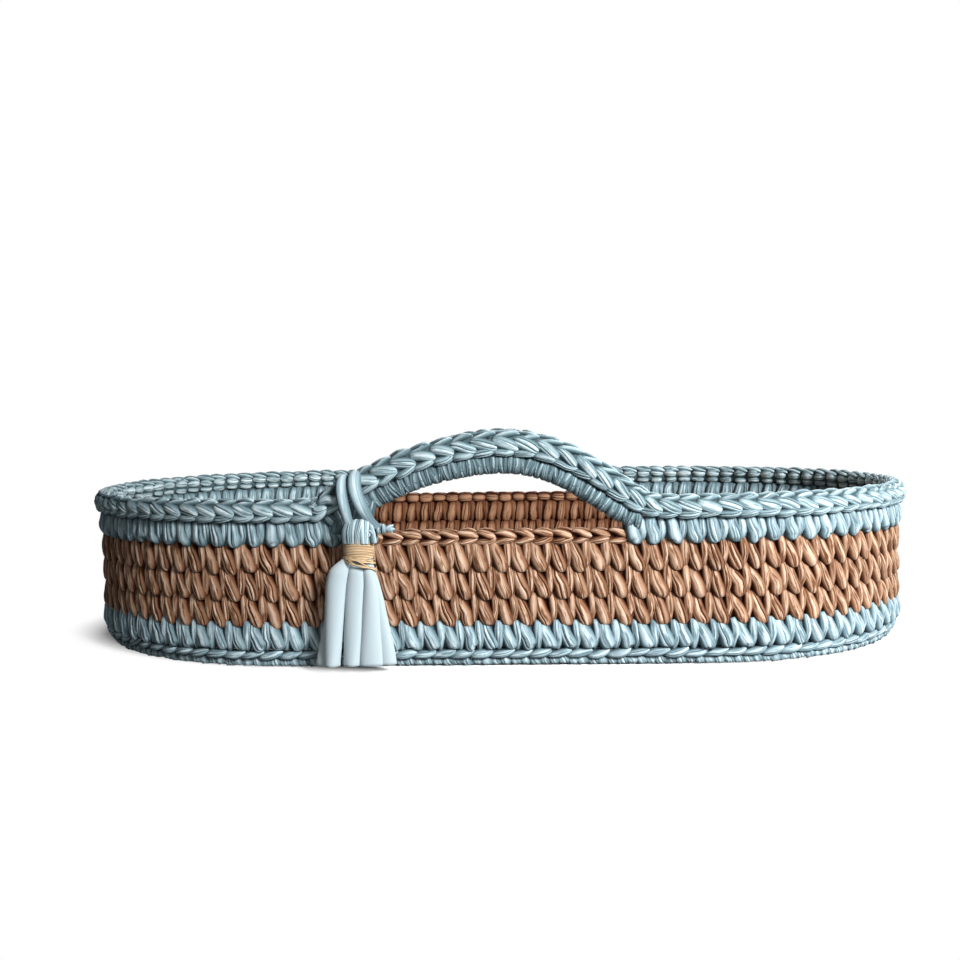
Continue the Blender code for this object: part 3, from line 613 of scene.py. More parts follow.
def add_foot_chain():
    line = oval_line(foot_inset + foot_depth / 2)
    at, pitch = stitches_round(line, foot_phase)
    low, high = foot_bottom, foot_bottom + foot_height
    outer = (
        (-0.66, 0.0010, low + 0.0008), (-0.24, 0.0031, low + 0.0022), (0.20, 0.0040, high - 0.0034),
        (0.62, 0.0030, high - 0.0012),
    )
    inner = [(along, -out, up) for along, out, up in outer]
    profile = (
        (0, 0.0010, 0.0008), (0.2, 0.0029, 0.0022), (0.5, 0.0041, 0.0030), (0.8, 0.0036, 0.0026),
        (1, 0.0012, 0.0010),
    )
    # Shade is painted on the outer leaves where they come out from under their neighbours.
    groups = [
        leaves(line, at, outer, profile, pitch, faces=(0, 10), tuck_shade=((0, 0.9), (0.25, 0.0), (1, 0.0))),
        leaves(line, at, inner, profile, pitch, faces=(180, 170)),
        core(line, 0, line["total"], 0.0, foot_bottom + foot_height / 2, 0.0026, 0.0036),
    ]
    item = yarn_object("foot_chain_leaves", groups, blue_yarn)
    fasten(item, "basket", ["foot_chain"])


add_foot_chain()

# Lower blue round. The first round of the wall, of V stitches in blue jersey yarn. Each shows a fat slanting
# leg, whose rounded tip lies over the chain below, and a thin leg that returns to the top; inside the basket it
# shows a sheaf of folds.
lower_blue_inset = 0.0050
lower_blue_depth = 0.0140
lower_blue_bottom = 0.0158
lower_blue_height = 0.0208
lower_blue_phase = 0.80
row_runs = ("_front", "_rear", "_left", "_right")
core_out = -0.0004


def stitch_row(inset, depth, bottom, height, phase, half_core, tip=0.0022, inside_shade=0.26):
    """The stitches of one round: a slim and a fat leg outside, the same inside, and the yarn carried between,
    with its half depth and half height. The tip is how far a fat leg reaches down over the row below."""
    line = oval_line(inset + depth / 2)
    at, pitch = stitches_round(line, phase)
    face, top = depth / 2, bottom + height
    fat = (
        (-0.44, face - 0.0050, top + 0.0030), (-0.34, face - 0.0038, top - 0.22 * height),
        (-0.15, face - 0.0034, bottom + 0.44 * height), (0.01, face - 0.0029, bottom + 0.13 * height),
        (0.07, face - 0.0018, bottom - tip),
    )
    fat_profile = (
        (0, 0.0022, 0.0014), (0.12, 0.0041, 0.0032), (0.35, 0.0060, 0.0046), (0.62, 0.0070, 0.0053),
        (0.82, 0.0063, 0.0047), (0.94, 0.0042, 0.0031), (1, 0.0014, 0.0012),
    )
    slim = (
        (0.31, face - 0.0050, bottom - 0.0012), (0.36, face - 0.0042, bottom + 0.28 * height),
        (0.36, face - 0.0036, bottom + 0.62 * height), (0.28, face - 0.0044, top + 0.0034),
    )
    slim_profile = (
        (0, 0.0014, 0.0014), (0.25, 0.0033, 0.0036), (0.55, 0.0046, 0.0046), (0.80, 0.0048, 0.0042),
        (1, 0.0028, 0.0018),
    )
    # Shade painted where the legs go under and come out from under the stitches around them.
    slim_tuck_shade = ((0, 0.6), (0.3, 0.0), (0.88, 0.0), (1, 0.35))
    fat_tuck_shade = ((0, 0.8), (0.10, 0.25), (0.2, 0.0), (1, 0.0))
    return [
        leaves(line, at, slim, slim_profile, pitch, crease=0.4, rings=8, tuck_shade=slim_tuck_shade),
        leaves(line, at, fat, fat_profile, pitch, crease=0.55, rings=11, tuck_shade=fat_tuck_shade),
        *inner_stitches(line, at, pitch, face, bottom, height, inside_shade),
        core(line, 0, line["total"], core_out, bottom + height / 2, *half_core),
    ]


def inner_stitches(line, at, pitch, face, bottom, height, inside_shade):
    """Inside the basket each stitch shows a broad lens-shaped leg and a slim one, with inside_shade painted on
    them, so that they are dimmer than outside.
    """
    top = bottom + height
    lens = (
        (-0.04, 0.0046 - face, top + 0.0006), (0.06, 0.0034 - face, bottom + 0.55 * height),
        (0.12, 0.0030 - face, bottom + 0.20 * height), (0.16, 0.0040 - face, bottom - 0.0020),
    )
    lens_profile = (
        (0, 0.0026, 0.0012), (0.15, 0.0050, 0.0036), (0.5, 0.0063, 0.0054), (0.8, 0.0050, 0.0040),
        (1, 0.0010, 0.0010),
    )
    leg = (
        (-0.40, 0.0048 - face, top + 0.0004), (-0.40, 0.0040 - face, bottom + 0.60 * height),
        (-0.41, 0.0042 - face, bottom + 0.22 * height), (-0.38, 0.0052 - face, bottom - 0.0010),
    )
    leg_profile = ((0, 0.0034, 0.0016), (0.3, 0.0036, 0.0030), (0.7, 0.0026, 0.0024), (1, 0.0012, 0.0010))
    # Painted shade where the inside legs go under their neighbours, deeper by inside_shade all along.
    leg_tuck_shade = ((0, 0.7), (0.25, inside_shade + 0.2), (1, inside_shade + 0.4))
    lens_tuck_shade = ((0, 0.9), (0.16, inside_shade + 0.10), (0.4, inside_shade), (0.8, inside_shade + 0.05), (1, 0.9))
    return [
        leaves(line, at, leg, leg_profile, pitch, faces=(180,), rings=7, tuck_shade=leg_tuck_shade),
        leaves(line, at, lens, lens_profile, pitch, faces=(180,), crease=0.6, rings=9, tuck_shade=lens_tuck_shade),
    ]


def add_lower_blue():
    groups = stitch_row(
        lower_blue_inset, lower_blue_depth, lower_blue_bottom, lower_blue_height, lower_blue_phase,
        (0.0040, 0.0106), tip=0.0002, inside_shade=0.0,
    )
    item = yarn_object("lower_blue_stitches", groups, blue_yarn)
    fasten(item, "basket", ["blue_round_lower" + run for run in row_runs])


add_lower_blue()

# Tan rounds. Three rounds of the same stitch in tan jersey yarn, worked one on the other. The stitches of each
# round stand about an eighth of a stitch to the left of those below, as seen from outside.
tan_ridge = (0.60, 0.445, 0.34, 1.0)
# The colour of the shade painted in the tan yarn's creases, sides and underside.
tan_crease_shade = (0.036, 0.007, 0.002, 1.0)
tan_inset = 0.0065
tan_depth = 0.0135
tan_bottom = 0.0366
tan_height = 0.0231
tan_rounds = (("tan_round_lower", 0.59), ("tan_round_middle", 0.47), ("tan_round_upper", 0.33))
tan_yarn = make_yarn("tan_jersey_yarn", tan_ridge, tan_crease_shade)


def add_tan_rounds():
    for level, (name, phase) in enumerate(tan_rounds):
        bottom = tan_bottom + level * tan_height
        groups = stitch_row(tan_inset, tan_depth, bottom, tan_height, phase, (0.0038, 0.0121))
        item = yarn_object(name + "_stitches", groups, tan_yarn)
        fasten(item, "basket", [name + run for run in row_runs])


add_tan_rounds()

# Sill chains. One chain of tan jersey yarn is slip-stitched along the top of the last tan round under each hand
# hole, and gives the hole a firm lower edge.
hole_left_x = -0.1262
hole_right_x = 0.1113
sill_bottom = 0.1045
sill_height = 0.0110
sill_stitches = 15
side_y = 0.15
side_reach = 0.20


def length_at(line, x, face):
    """Length along a line at which its front (-1) or rear (1) straight passes x."""
    place = line["place"]
    near = (np.abs(place[:, 0]) < side_reach) & (place[:, 1] * face > side_y)
    s, xs = line["length"][near], place[near, 0]
    if face < 0:
        s = np.where(s > line["total"] / 2, s - line["total"], s)
    order = np.argsort(xs)
    return np.interp(x, xs[order], s[order])


def spread_over(first, last, count):
    """Middles of equal stitches between two lengths, and the length of one."""
    pitch = (last - first) / count
    return first + pitch * (np.arange(count) + 0.5), pitch


def add_sill(name, face):
    line = oval_line(tan_inset + tan_depth / 2, sill_bottom)
    first, last = sorted((length_at(line, hole_left_x, face), length_at(line, hole_right_x, face)))
    at, pitch = spread_over(first, last, sill_stitches)
    upper = ((-0.62, 0.0010, 0.0094), (-0.20, 0.0030, 0.0090), (0.22, 0.0038, 0.0074), (0.56, 0.0034, 0.0058))
    lower = ((-0.66, 0.0034, 0.0010), (-0.22, 0.0043, 0.0018), (0.20, 0.0042, 0.0032), (0.52, 0.0034, 0.0050))
    knob = ((-0.46, -0.0024, 0.0056), (0.0, -0.0050, 0.0056), (0.46, -0.0024, 0.0056))
    cap = ((-0.55, -0.0030, 0.0098), (0.0, -0.0016, 0.0108), (0.55, 0.0006, 0.0098))
    fat = (
        (0, 0.0008, 0.0008), (0.2, 0.0028, 0.0024), (0.55, 0.0042, 0.0032), (0.82, 0.0037, 0.0028),
        (1, 0.0013, 0.0010),
    )
    slim = (
        (0, 0.0008, 0.0008), (0.25, 0.0027, 0.0024), (0.55, 0.0037, 0.0029), (0.82, 0.0032, 0.0026),
        (1, 0.0010, 0.0010),
    )
    lump = ((0, 0.0026, 0.0012), (0.25, 0.0050, 0.0032), (0.75, 0.0050, 0.0032), (1, 0.0026, 0.0012))
    leaf = ((0, 0.0008, 0.0006), (0.4, 0.0030, 0.0020), (0.8, 0.0026, 0.0018), (1, 0.0008, 0.0006))
    # Shade painted where the leaves come out from under each other, and on the knobs inside.
    lower_tuck_shade = ((0, 0.8), (0.2, 0.0), (1, 0.0))
    upper_tuck_shade = ((0, 0.9), (0.2, 0.0), (1, 0.0))
    knob_tuck_shade = ((0, 0.6), (0.2, 0.25), (0.8, 0.25), (1, 0.6))
    groups = [
        leaves(line, at, lower, slim, pitch, faces=(-15, 0), tuck_shade=lower_tuck_shade),
        leaves(line, at, upper, fat, pitch, faces=(50, 25), tuck_shade=upper_tuck_shade),
        leaves(line, at, knob, lump, pitch, faces=(180,), crease=0.6, rings=8, tuck_shade=knob_tuck_shade),
        leaves(line, at, cap, leaf, pitch, faces=(90, 80), rings=7),
        core(line, first, last, -0.0002, sill_height / 2 - 0.0004, 0.0036, 0.0044),
    ]
    item = yarn_object(name + "_leaves", groups, tan_yarn)
    fasten(item, "basket", [name])


for side_name, face in (("front", -1), ("rear", 1)):
    add_sill(side_name + "_sill_chain", face)

# Upper blue round. Big round puffs of blue jersey yarn are worked on the last tan round, from hand hole to hand
# hole round each end. The two runs leave the wall open between them.
upper_blue_inset = 0.0040
upper_blue_depth = 0.0145
upper_blue_bottom = 0.1058
upper_blue_height = 0.0196
upper_blue_shift = 0.15


def add_upper_blue(name, first_face, edge_x):
    line = oval_line(upper_blue_inset + upper_blue_depth / 2, upper_blue_bottom)
    first = length_at(line, edge_x, first_face)
    last = length_at(line, edge_x, -first_face)
    if last < first:
        last += line["total"]
    at, pitch = spread_over(first, last, round((last - first) * stitches / line["total"]))
    at = at - upper_blue_shift * pitch
    face, top = upper_blue_depth / 2, upper_blue_height
    puff = (
        (-0.24, face - 0.0052, top + 0.0012), (-0.17, face - 0.0047, 0.66 * top),
        (-0.07, face - 0.0042, 0.32 * top), (0.0, face - 0.0036, 0.09 * top), (0.02, face - 0.0022, -0.0016),
    )
    fat = (
        (0, 0.0044, 0.0024), (0.15, 0.0056, 0.0040), (0.45, 0.0068, 0.0056), (0.72, 0.0068, 0.0053),
        (0.89, 0.0052, 0.0038), (1, 0.0022, 0.0012),
    )
    side = (
        (0.26, face - 0.0056, top + 0.0012), (0.34, face - 0.0046, 0.68 * top),
        (0.36, face - 0.0045, 0.34 * top), (0.28, face - 0.0054, 0.04 * top),
    )
    slim = ((0, 0.0026, 0.0020), (0.3, 0.0043, 0.0046), (0.65, 0.0047, 0.0046), (1, 0.0022, 0.0014))
    # Shade painted where the puffs and their slim legs go under the stitches around them.
    side_tuck_shade = ((0, 0.5), (0.2, 0.0), (1, 0.3))
    puff_tuck_shade = ((0, 0.8), (0.14, 0.1), (0.3, 0.0), (1, 0.0))
    groups = [
        leaves(line, at, side, slim, pitch, crease=0.4, rings=8, tuck_shade=side_tuck_shade),
        leaves(line, at, puff, fat, pitch, crease=0.6, rings=11, tuck_shade=puff_tuck_shade),
        *inner_stitches(line, at, pitch, face, 0.0, upper_blue_height, 0.0),
        core(line, first, last, core_out, upper_blue_height / 2, 0.0042, 0.0108),
    ]
    item = yarn_object(name + "_puffs", groups, blue_yarn)
    fasten(item, "basket", [name])


add_upper_blue("blue_round_upper_right", -1, hole_right_x)
add_upper_blue("blue_round_upper_left", 1, hole_left_x)

# Rim braid and handle braids. A double chain of blue yarn closes the top of the wall and runs on over both
# handles: two rows of fat leaves outside, one over the top, and round knobs inside.
rim_bottom = 0.1248
rim_height = 0.0195
braid_height = 0.0225
front_rise, rear_rise = 0.0525, 0.0445
rim_stitches = 121
seam_inset = 0.009
seam_points = 2600
handle_centre_x = -0.0032
handle_half_span = 0.1460
hinge_left_x, hinge_right_x = -0.0952, 0.1008
# The braid's runs on the handles reach this far past each hinge, outwards.
level_past_hinge = 0.010
lifted_span, lifted_y = 0.3, 0.17
braid_overlap = 0.002
# Painted light: the braids use a lighter copy of the blue yarn, as if more light fell on the rim and handles.
lit_rim_ridge = (0.62, 0.72, 0.75, 1.0)
lit_rim_crease_shade = (0.060, 0.098, 0.112, 1.0)
lit_rim_yarn = make_yarn("lit_rim_blue_yarn", lit_rim_ridge, lit_rim_crease_shade)
# The handle's rise along its span: (place from the left foot at -1 to the right foot at 1, share of the rise).
handle_shares = np.array((
    (-1.00, 0.00), (-0.90, 0.15), (-0.81, 0.285), (-0.725, 0.405), (-0.64, 0.52), (-0.46, 0.735),
    (-0.27, 0.885), (-0.075, 0.98), (0.04, 1.00), (0.16, 0.985), (0.295, 0.905), (0.44, 0.745), (0.535, 0.59),
    (0.63, 0.425), (0.725, 0.25), (0.815, 0.115), (0.90, 0.03), (1.00, 0.00),
))
# The braid's leaves and knobs, along in stitches, out and up from the seam.
braid_shapes = {
    "lower": (
        (-0.62, 0.0034, 0.0034), (-0.22, 0.0048, 0.0036), (0.22, 0.0054, 0.0044), (0.60, 0.0050, 0.0062),
    ),
    "low": ((-0.38, -0.0040, 0.0045), (0.0, -0.0056, 0.0045), (0.38, -0.0040, 0.0045)),
    "high": ((-0.45, -0.0044, 0.0118), (0.0, -0.0060, 0.0118), (0.45, -0.0044, 0.0118)),
    "back": ((-0.55, -0.0062, 0.0144), (0.0, -0.0050, 0.0160), (0.55, -0.0026, 0.0172)),
    "second": (
        (-0.52, 0.0026, 0.0136), (-0.12, 0.0032, 0.0152), (0.28, 0.0024, 0.0166), (0.56, 0.0008, 0.0174),
    ),
    "crown": (
        (-0.62, -0.0042, 0.0166), (-0.20, -0.0024, 0.0176), (0.22, -0.0004, 0.0178), (0.58, 0.0012, 0.0170),
    ),
    "front": (
        (-0.60, 0.0026, 0.0128), (-0.20, 0.0045, 0.0114), (0.22, 0.0055, 0.0090), (0.64, 0.0053, 0.0068),
    ),
}
braid_profiles = {
    "slim": (
        (0, 0.0020, 0.0012), (0.15, 0.0034, 0.0029), (0.5, 0.0039, 0.0034), (0.8, 0.0034, 0.0030),
        (1, 0.0010, 0.0008),
    ),
    "band": ((0, 0.0020, 0.0012), (0.25, 0.0034, 0.0028), (0.75, 0.0034, 0.0028), (1, 0.0020, 0.0012)),
    "lump": (
        (0, 0.0020, 0.0012), (0.22, 0.0046, 0.0034), (0.5, 0.0054, 0.0042), (0.78, 0.0046, 0.0034),
        (1, 0.0020, 0.0012),
    ),
    "top": (
        (0, 0.0010, 0.0008), (0.25, 0.0031, 0.0023), (0.6, 0.0040, 0.0027), (0.85, 0.0034, 0.0022),
        (1, 0.0012, 0.0008),
    ),
    "middle": (
        (0, 0.0008, 0.0008), (0.2, 0.0024, 0.0022), (0.55, 0.0034, 0.0027), (0.85, 0.0028, 0.0022),
        (1, 0.0010, 0.0008),
    ),
    "fat": (
        (0, 0.0026, 0.0014), (0.12, 0.0042, 0.0030), (0.30, 0.0051, 0.0038), (0.60, 0.0053, 0.0041),
        (0.80, 0.0048, 0.0038), (0.93, 0.0034, 0.0028), (1, 0.0014, 0.0010),
    ),
}
# Shade painted where a leaf comes out from under the one before.
open_tuck_shade = ((0, 0.8), (0.3, 0.15), (1, 0.15))
under_tuck_shade = ((0, 0.9), (0.18, 0.2), (0.32, 0.0), (1, 0.0))
# Each row of the braid: shape, profile, faces, rings, crease and tuck_shade, its painted shade.
braid_rows = (
    ("lower", "slim", (-25, -10), 8, 0.8, open_tuck_shade), ("low", "band", (190,), 6, 0.45, None),
    ("high", "lump", (180,), 7, 0.45, None), ("back", "top", (125, 105), 7, 0.45, None),
    ("second", "middle", (45, 80), 8, 0.7, under_tuck_shade), ("crown", "top", (95, 75), 8, 0.45, under_tuck_shade),
    ("front", "fat", (20, -5), 9, 0.85, under_tuck_shade),
)


def seam_share(x):
    """Share of the rise at a place along a side, along a smooth line through the shares."""
    u = np.clip((x - handle_centre_x) / handle_half_span, -1, 1)
    place, share = handle_shares[:, 0], handle_shares[:, 1]
    slope = np.zeros(len(place))
    slope[1:-1] = (share[2:] - share[:-2]) / (place[2:] - place[:-2])
    i = np.clip(np.searchsorted(place, u) - 1, 0, len(place) - 2)
    span = place[i + 1] - place[i]
    t = (u - place[i]) / span
    return (
        (2 * t**3 - 3 * t**2 + 1) * share[i] + (t**3 - 2 * t**2 + t) * slope[i] * span
        + (3 * t**2 - 2 * t**3) * share[i + 1] + (t**3 - t**2) * slope[i + 1] * span
    )


def seam_line():
    """The seam between wall and rim, level round the ends and rising over both handles."""
    oval = oval_line(seam_inset)
    place = read_line(oval, "place", np.linspace(0, oval["total"], seam_points))
    place[-1] = place[0]
    rise = np.where(place[:, 1] < 0, front_rise, rear_rise)
    straight = (np.abs(place[:, 0]) < straight_half) & (np.abs(place[:, 1]) > side_y)
    place[:, 2] = rim_bottom + np.where(straight, rise * seam_share(place[:, 0]), 0.0)
    return line_through(place)


seam = seam_line()


def braid_lift(s):
    """The braid is a little taller on the handles than on the level rim."""
    place = read_line(seam, "place", s)
    up = np.clip(1 - np.abs((place[..., 0] - handle_centre_x) / handle_half_span), 0, lifted_span) / lifted_span
    return np.where(np.abs(place[..., 1]) > lifted_y, 1 + (braid_height / rim_height - 1) * up, 1.0)


def braid_groups(at, pitch):
    """Outside, two chains of leaves whose points run to the right; inside, a broad knob over a narrow band."""
    return [
        leaves(
            seam, at, braid_shapes[shape], braid_profiles[profile], pitch, faces, crease, rings=rings,
            tuck_shade=tuck_shade, lift=braid_lift,
        )
        for shape, profile, faces, rings, crease, tuck_shade in braid_rows
    ]


def braid_core(first, last):
    count = max(4, int((last - first) / core_step))
    s = np.linspace(first, last, count)[None]
    middle = 0.45 * rim_height * braid_lift(s)
    centre = at_line(seam, s, 0.0, middle)
    # The braid's core is painted all in shade.
    return yarn(centre, read_line(seam, "out", s), middle - 0.0004, 0.0054, 0.0, tuck_shade=1.0)


def split_braid():
    """Stitches of the whole seam in six runs: both level ends and two halves of each handle."""
    total = seam["total"]
    pitch = total / rim_stitches
    at = (np.arange(rim_stitches) + 0.5) * pitch
    at = np.concatenate((at, at + total))
    xs = (hinge_left_x - level_past_hinge, handle_centre_x, hinge_right_x + level_past_hinge)
    front_left, front_crest, front_right, rear_right, rear_crest, rear_left = (
        float(length_at(seam, x, face)) % total for face, side in ((-1, xs), (1, xs[::-1])) for x in side
    )
    runs = {
        "front_handle_right_braid": (front_crest, front_right), "rim_right_braid": (front_right, rear_right),
        "rear_handle_right_braid": (rear_right, rear_crest), "rear_handle_left_braid": (rear_crest, rear_left),
        "rim_left_braid": (rear_left, front_left), "front_handle_left_braid": (front_left, front_crest),
    }
    result = {}
    for name, (first, last) in runs.items():
        if last < first:
            last += total
        result[name] = (at[(at >= first) & (at < last)], first, last)
    return result, pitch


def bend_with_handle(item):
    """The piece's place is applied to its mesh."""
    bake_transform(item)


def add_braids():
    runs, pitch = split_braid()
    for name, (at, first, last) in runs.items():
        groups = braid_groups(at, pitch) + [braid_core(first - braid_overlap, last + braid_overlap)]
        item = yarn_object(name, groups, lit_rim_yarn)
        if name.startswith("rim"):
            fasten(item, "basket", ["rim_braid_" + ("left" if "left" in name else "right")])
        else:
            side_name = name.split("_")[0]
            bend_with_handle(item)
            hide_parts(side_name + "_handle_braid")


add_braids()

# Handle ropes. Three cotton strands, twisted into a rope, lie inside each winding under the braid. The rope
# carries the weight and lets the handle stand up by itself.
rope_pale = (0.80, 0.76, 0.66, 1.0)
# The colour of the shade painted in the rope's creases.
rope_crease_shade = (0.36, 0.31, 0.23, 1.0)
rope_strand = 0.0017
rope_radius = rope_strand * 1.12
rope_lay = 0.030
rope_drop = 0.0062
rope_end_gap = 0.005
rope_yarn = make_yarn("twisted_cotton_rope", rope_pale, rope_crease_shade)


def add_rope(side_name, face):
    xs = (hinge_left_x + rope_end_gap, hinge_right_x - rope_end_gap)
    first, last = sorted(float(length_at(seam, x, face)) for x in xs)
    s = np.linspace(first, last, 90)
    turn = 2 * math.pi * s[None] / rope_lay + np.array([0, 1, 2])[:, None] * 2 * math.pi / 3
    s = np.broadcast_to(s, turn.shape)
    centre = at_line(seam, s, rope_radius * np.cos(turn), -rope_drop + rope_radius * np.sin(turn))
    turn = turn[..., None]
    facing = read_line(seam, "out", s) * np.cos(turn) + read_line(seam, "up", s) * np.sin(turn)
    rope = yarn(centre, facing, rope_strand, rope_strand, 0.2)
    item = yarn_object(side_name + "_handle_rope", [rope], rope_yarn)
    fasten(item, side_name + "_handle", [side_name + "_handle_core"])


for side_name, face in (("front", -1), ("rear", 1)):
    add_rope(side_name, face)

# Handle windings. Blue yarn is wound tightly round each rope, square to the arch, from one foot to the other.
# At the left foot it spreads in slanting folds over the corner of the hand hole.
wrap_height = 0.0160
wrap_top = 0.0020
wrap_half_depth = 0.00725
wrap_pitch = 0.0054
wrap_rings = 18
wrap_past_left, wrap_past_right = 0.0150, 0.0120
wrap_lean, wrap_wobble = 0.0010, 0.0004
wrap_half_thickness, thickness_spread = 0.0014, 0.0003
narrowest_turn, turn_spread, turn_half = 0.5, 1.1, 0.60
fold_count, fold_rings = 7, 9
# From the first fold to the last: place past the hole's corner, added length, and length as a share of the
# height between braid and wall.
fold_places, fold_slack, fold_lengths = (-0.0035, 0.0250), (0.0010, 0.0050), (1.05, 0.62)
fold_top, fold_bottom, shortest_fold = 0.0060, 0.0105, 0.008
fold_y, fold_bulge, fold_lean = 0.1850, 0.0016, 0.0060
fold_widths = ((0, 0.0024), (0.25, 0.0034), (0.6, 0.0036), (0.85, 0.0030), (1, 0.0014))
# Painted shade: the windings lie under the braid, so their yarn is a darker copy of the blue yarn.
shaded_wound_ridge = (0.345, 0.43, 0.46, 1.0)
shaded_wound_yarn = make_yarn("shaded_wound_blue_yarn", shaded_wound_ridge, blue_crease_shade)


def winding(places, widths):
    """Closed turns round the rope at given lengths along the seam."""
    count = len(places)
    angle = 2 * math.pi * np.arange(wrap_rings) / wrap_rings
    lean = rng.normal(0, wrap_lean, (count, 1))
    thick = wrap_half_thickness + thickness_spread * rng.random((count, 1))
    s = places[:, None] + lean * np.sin(angle)[None]
    s = s + wrap_wobble * np.sin(2 * angle + rng.random((count, 1)) * 6)
    out = (wrap_half_depth - thick) * np.cos(angle)[None]
    up = wrap_top - wrap_height / 2 + (wrap_height / 2 - thick) * np.sin(angle)[None]
    angle = angle[None, :, None]
    facing = read_line(seam, "out", s) * np.cos(angle) + read_line(seam, "up", s) * np.sin(angle)
    return yarn(at_line(seam, s, out, up), facing, widths[:, None], thick, 1.0, cyclic=True)


def foot_folds(face):
    """The folds over the corner of the hand hole. All lean to the left as they come down."""
    x = np.linspace(hole_left_x + fold_places[0], hole_left_x + fold_places[1], fold_count)[:, None]
    top = rim_bottom + (front_rise if face < 0 else rear_rise) * seam_share(x) - fold_top
    slack, share = (np.linspace(*ends, fold_count)[:, None] for ends in (fold_slack, fold_lengths))
    fall = slack + (top - fold_bottom - upper_blue_bottom) * share
    t = np.linspace(0, 1, fold_rings)[None]
    centre = np.stack([
        x - fold_lean * t**1.4, face * (fold_y + fold_bulge * np.sin(math.pi * t)) + 0 * x,
        top - np.maximum(fall, shortest_fold) * t,
    ], -1)
    width = read_table(fold_widths, t)
    return yarn(centre, np.array([0.0, float(face), 0.0]), width, width * 0.9, 0.8)


def add_windings(side_name, face):
    xs = (hole_left_x - wrap_past_left, hole_right_x + wrap_past_right)
    first, last = sorted(float(length_at(seam, x, face)) for x in xs)
    steps = narrowest_turn + turn_spread * rng.random(int((last - first) / wrap_pitch))
    edges = first + np.concatenate(([0], np.cumsum(steps))) / steps.sum() * (last - first)
    places, widths = (edges[1:] + edges[:-1]) / 2, np.diff(edges) * turn_half
    crest = float(length_at(seam, handle_centre_x, face))
    for half, keep in (("left", places < crest), ("right", places >= crest)):
        if face > 0:
            half = "right" if half == "left" else "left"
        s = np.linspace(places[keep][0] - 0.002, places[keep][-1] + 0.002, 30)[None]
        # The yarn inside the winding is painted all in shade.
        inside = yarn(
            at_line(seam, s, 0.0, wrap_top - wrap_height / 2), read_line(seam, "out", s),
            wrap_height / 2 - wrap_half_thickness, wrap_half_depth - wrap_half_thickness, 0.0, tuck_shade=1.0,
        )
        groups = [inside, winding(places[keep], widths[keep])]
        if half == "left":
            groups.append(foot_folds(face))
        item = yarn_object(side_name + "_winding_" + half, groups, shaded_wound_yarn)
        bend_with_handle(item)
        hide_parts(side_name + "_handle_wrap", side_name + "_foot_wrap_" + half)


for side_name, face in (("front", -1), ("rear", 1)):
    add_windings(side_name, face)

# Tassel's loops. Two flat strips of pale jersey are drawn tight over the front handle's left foot. Both ends of
# each come down to the cord, which they carry.
tassel_x = -0.1127
tassel_y = -0.1965
cord_height = 0.1215
pale_ridge = (0.91, 0.965, 0.985, 1.0)
# The colour of the shade painted in the pale jersey's creases and at its edges.
pale_crease_shade = (0.11, 0.165, 0.19, 1.0)
# Painted shade: the loops, the knot and its tail use a darker copy of the pale jersey.
shaded_strand_ridge = (0.59, 0.70, 0.74, 1.0)
shaded_strand_strip = make_yarn(
    "shaded_tight_jersey_strip", shaded_strand_ridge, pale_crease_shade, streak_shade=0.35, strength=0.40, sheen=0.05,
)
strand_half_depth = 0.0026
# Half widths of both strands: (share of the length, left, right).
strand_widths = (
    (0, 0.0034, 0.0030), (0.06, 0.0042, 0.0044), (0.2, 0.0046, 0.0058), (0.45, 0.0046, 0.0058),
    (1, 0.0038, 0.0040),
)
loop_middle = (-0.181, 0.1430)
loop_left_route = (
    (-0.1190, -0.1968, 0.1228), (-0.1204, -0.1980, 0.1275), (-0.1226, -0.1975, 0.1352),
    (-0.1252, -0.1958, 0.1450), (-0.1264, -0.1936, 0.1530), (-0.1266, -0.1890, 0.1590),
    (-0.1262, -0.1820, 0.1620), (-0.1257, -0.1745, 0.1600), (-0.1257, -0.1695, 0.1511),
    (-0.1240, -0.1692, 0.1382), (-0.1224, -0.1712, 0.1265), (-0.1207, -0.1764, 0.1212),
    (-0.1200, -0.1865, 0.1212),
)
loop_right_route = (
    (-0.0952, -0.1968, 0.1214), (-0.0990, -0.1984, 0.1245), (-0.1040, -0.1982, 0.1300),
    (-0.1088, -0.1968, 0.1375), (-0.1130, -0.1956, 0.1470), (-0.1152, -0.1938, 0.1550),
    (-0.1158, -0.1895, 0.1620), (-0.1158, -0.1815, 0.1655), (-0.1155, -0.1735, 0.1645),
    (-0.1145, -0.1692, 0.1575), (-0.1119, -0.1692, 0.1407), (-0.1100, -0.1712, 0.1272),
    (-0.1087, -0.1764, 0.1212), (-0.1087, -0.1865, 0.1212),
)


def add_loop(name, node, route, column):
    t = np.linspace(0, 1, 70)
    centre = smooth_through(np.array([route]), t)
    facing = centre - np.array([0, *loop_middle])
    facing[..., 0] = 0
    width = read_table(strand_widths, t, column)[None]
    item = yarn_object(name, [yarn(centre, unit(facing), width, strand_half_depth, 0.12)], shaded_strand_strip)
    fasten(item, "basket", [node])


add_loop("left_loop_strip", "tassel_loop_left", loop_left_route, 1)
add_loop("right_loop_strip", "tassel_loop_right", loop_right_route, 2)

# Tassel's cord and knot. The cord of blue yarn carries the folded strips. At its right end it is knotted, and
# its frayed tail stands out past the knot.
cord_half = 0.0016
cord_reach = (-0.0120, 0.0225)
tail_start = 0.0215
# Both turns of the knot: (place along the cord, lean, radius).
knot_turns = ((0.0182, 0.0012, 0.0026), (0.0208, -0.0010, 0.0025))
knot_drop, knot_stretch = 0.0012, 1.15
knot_half_width, knot_half_depth = 0.0019, 0.0014
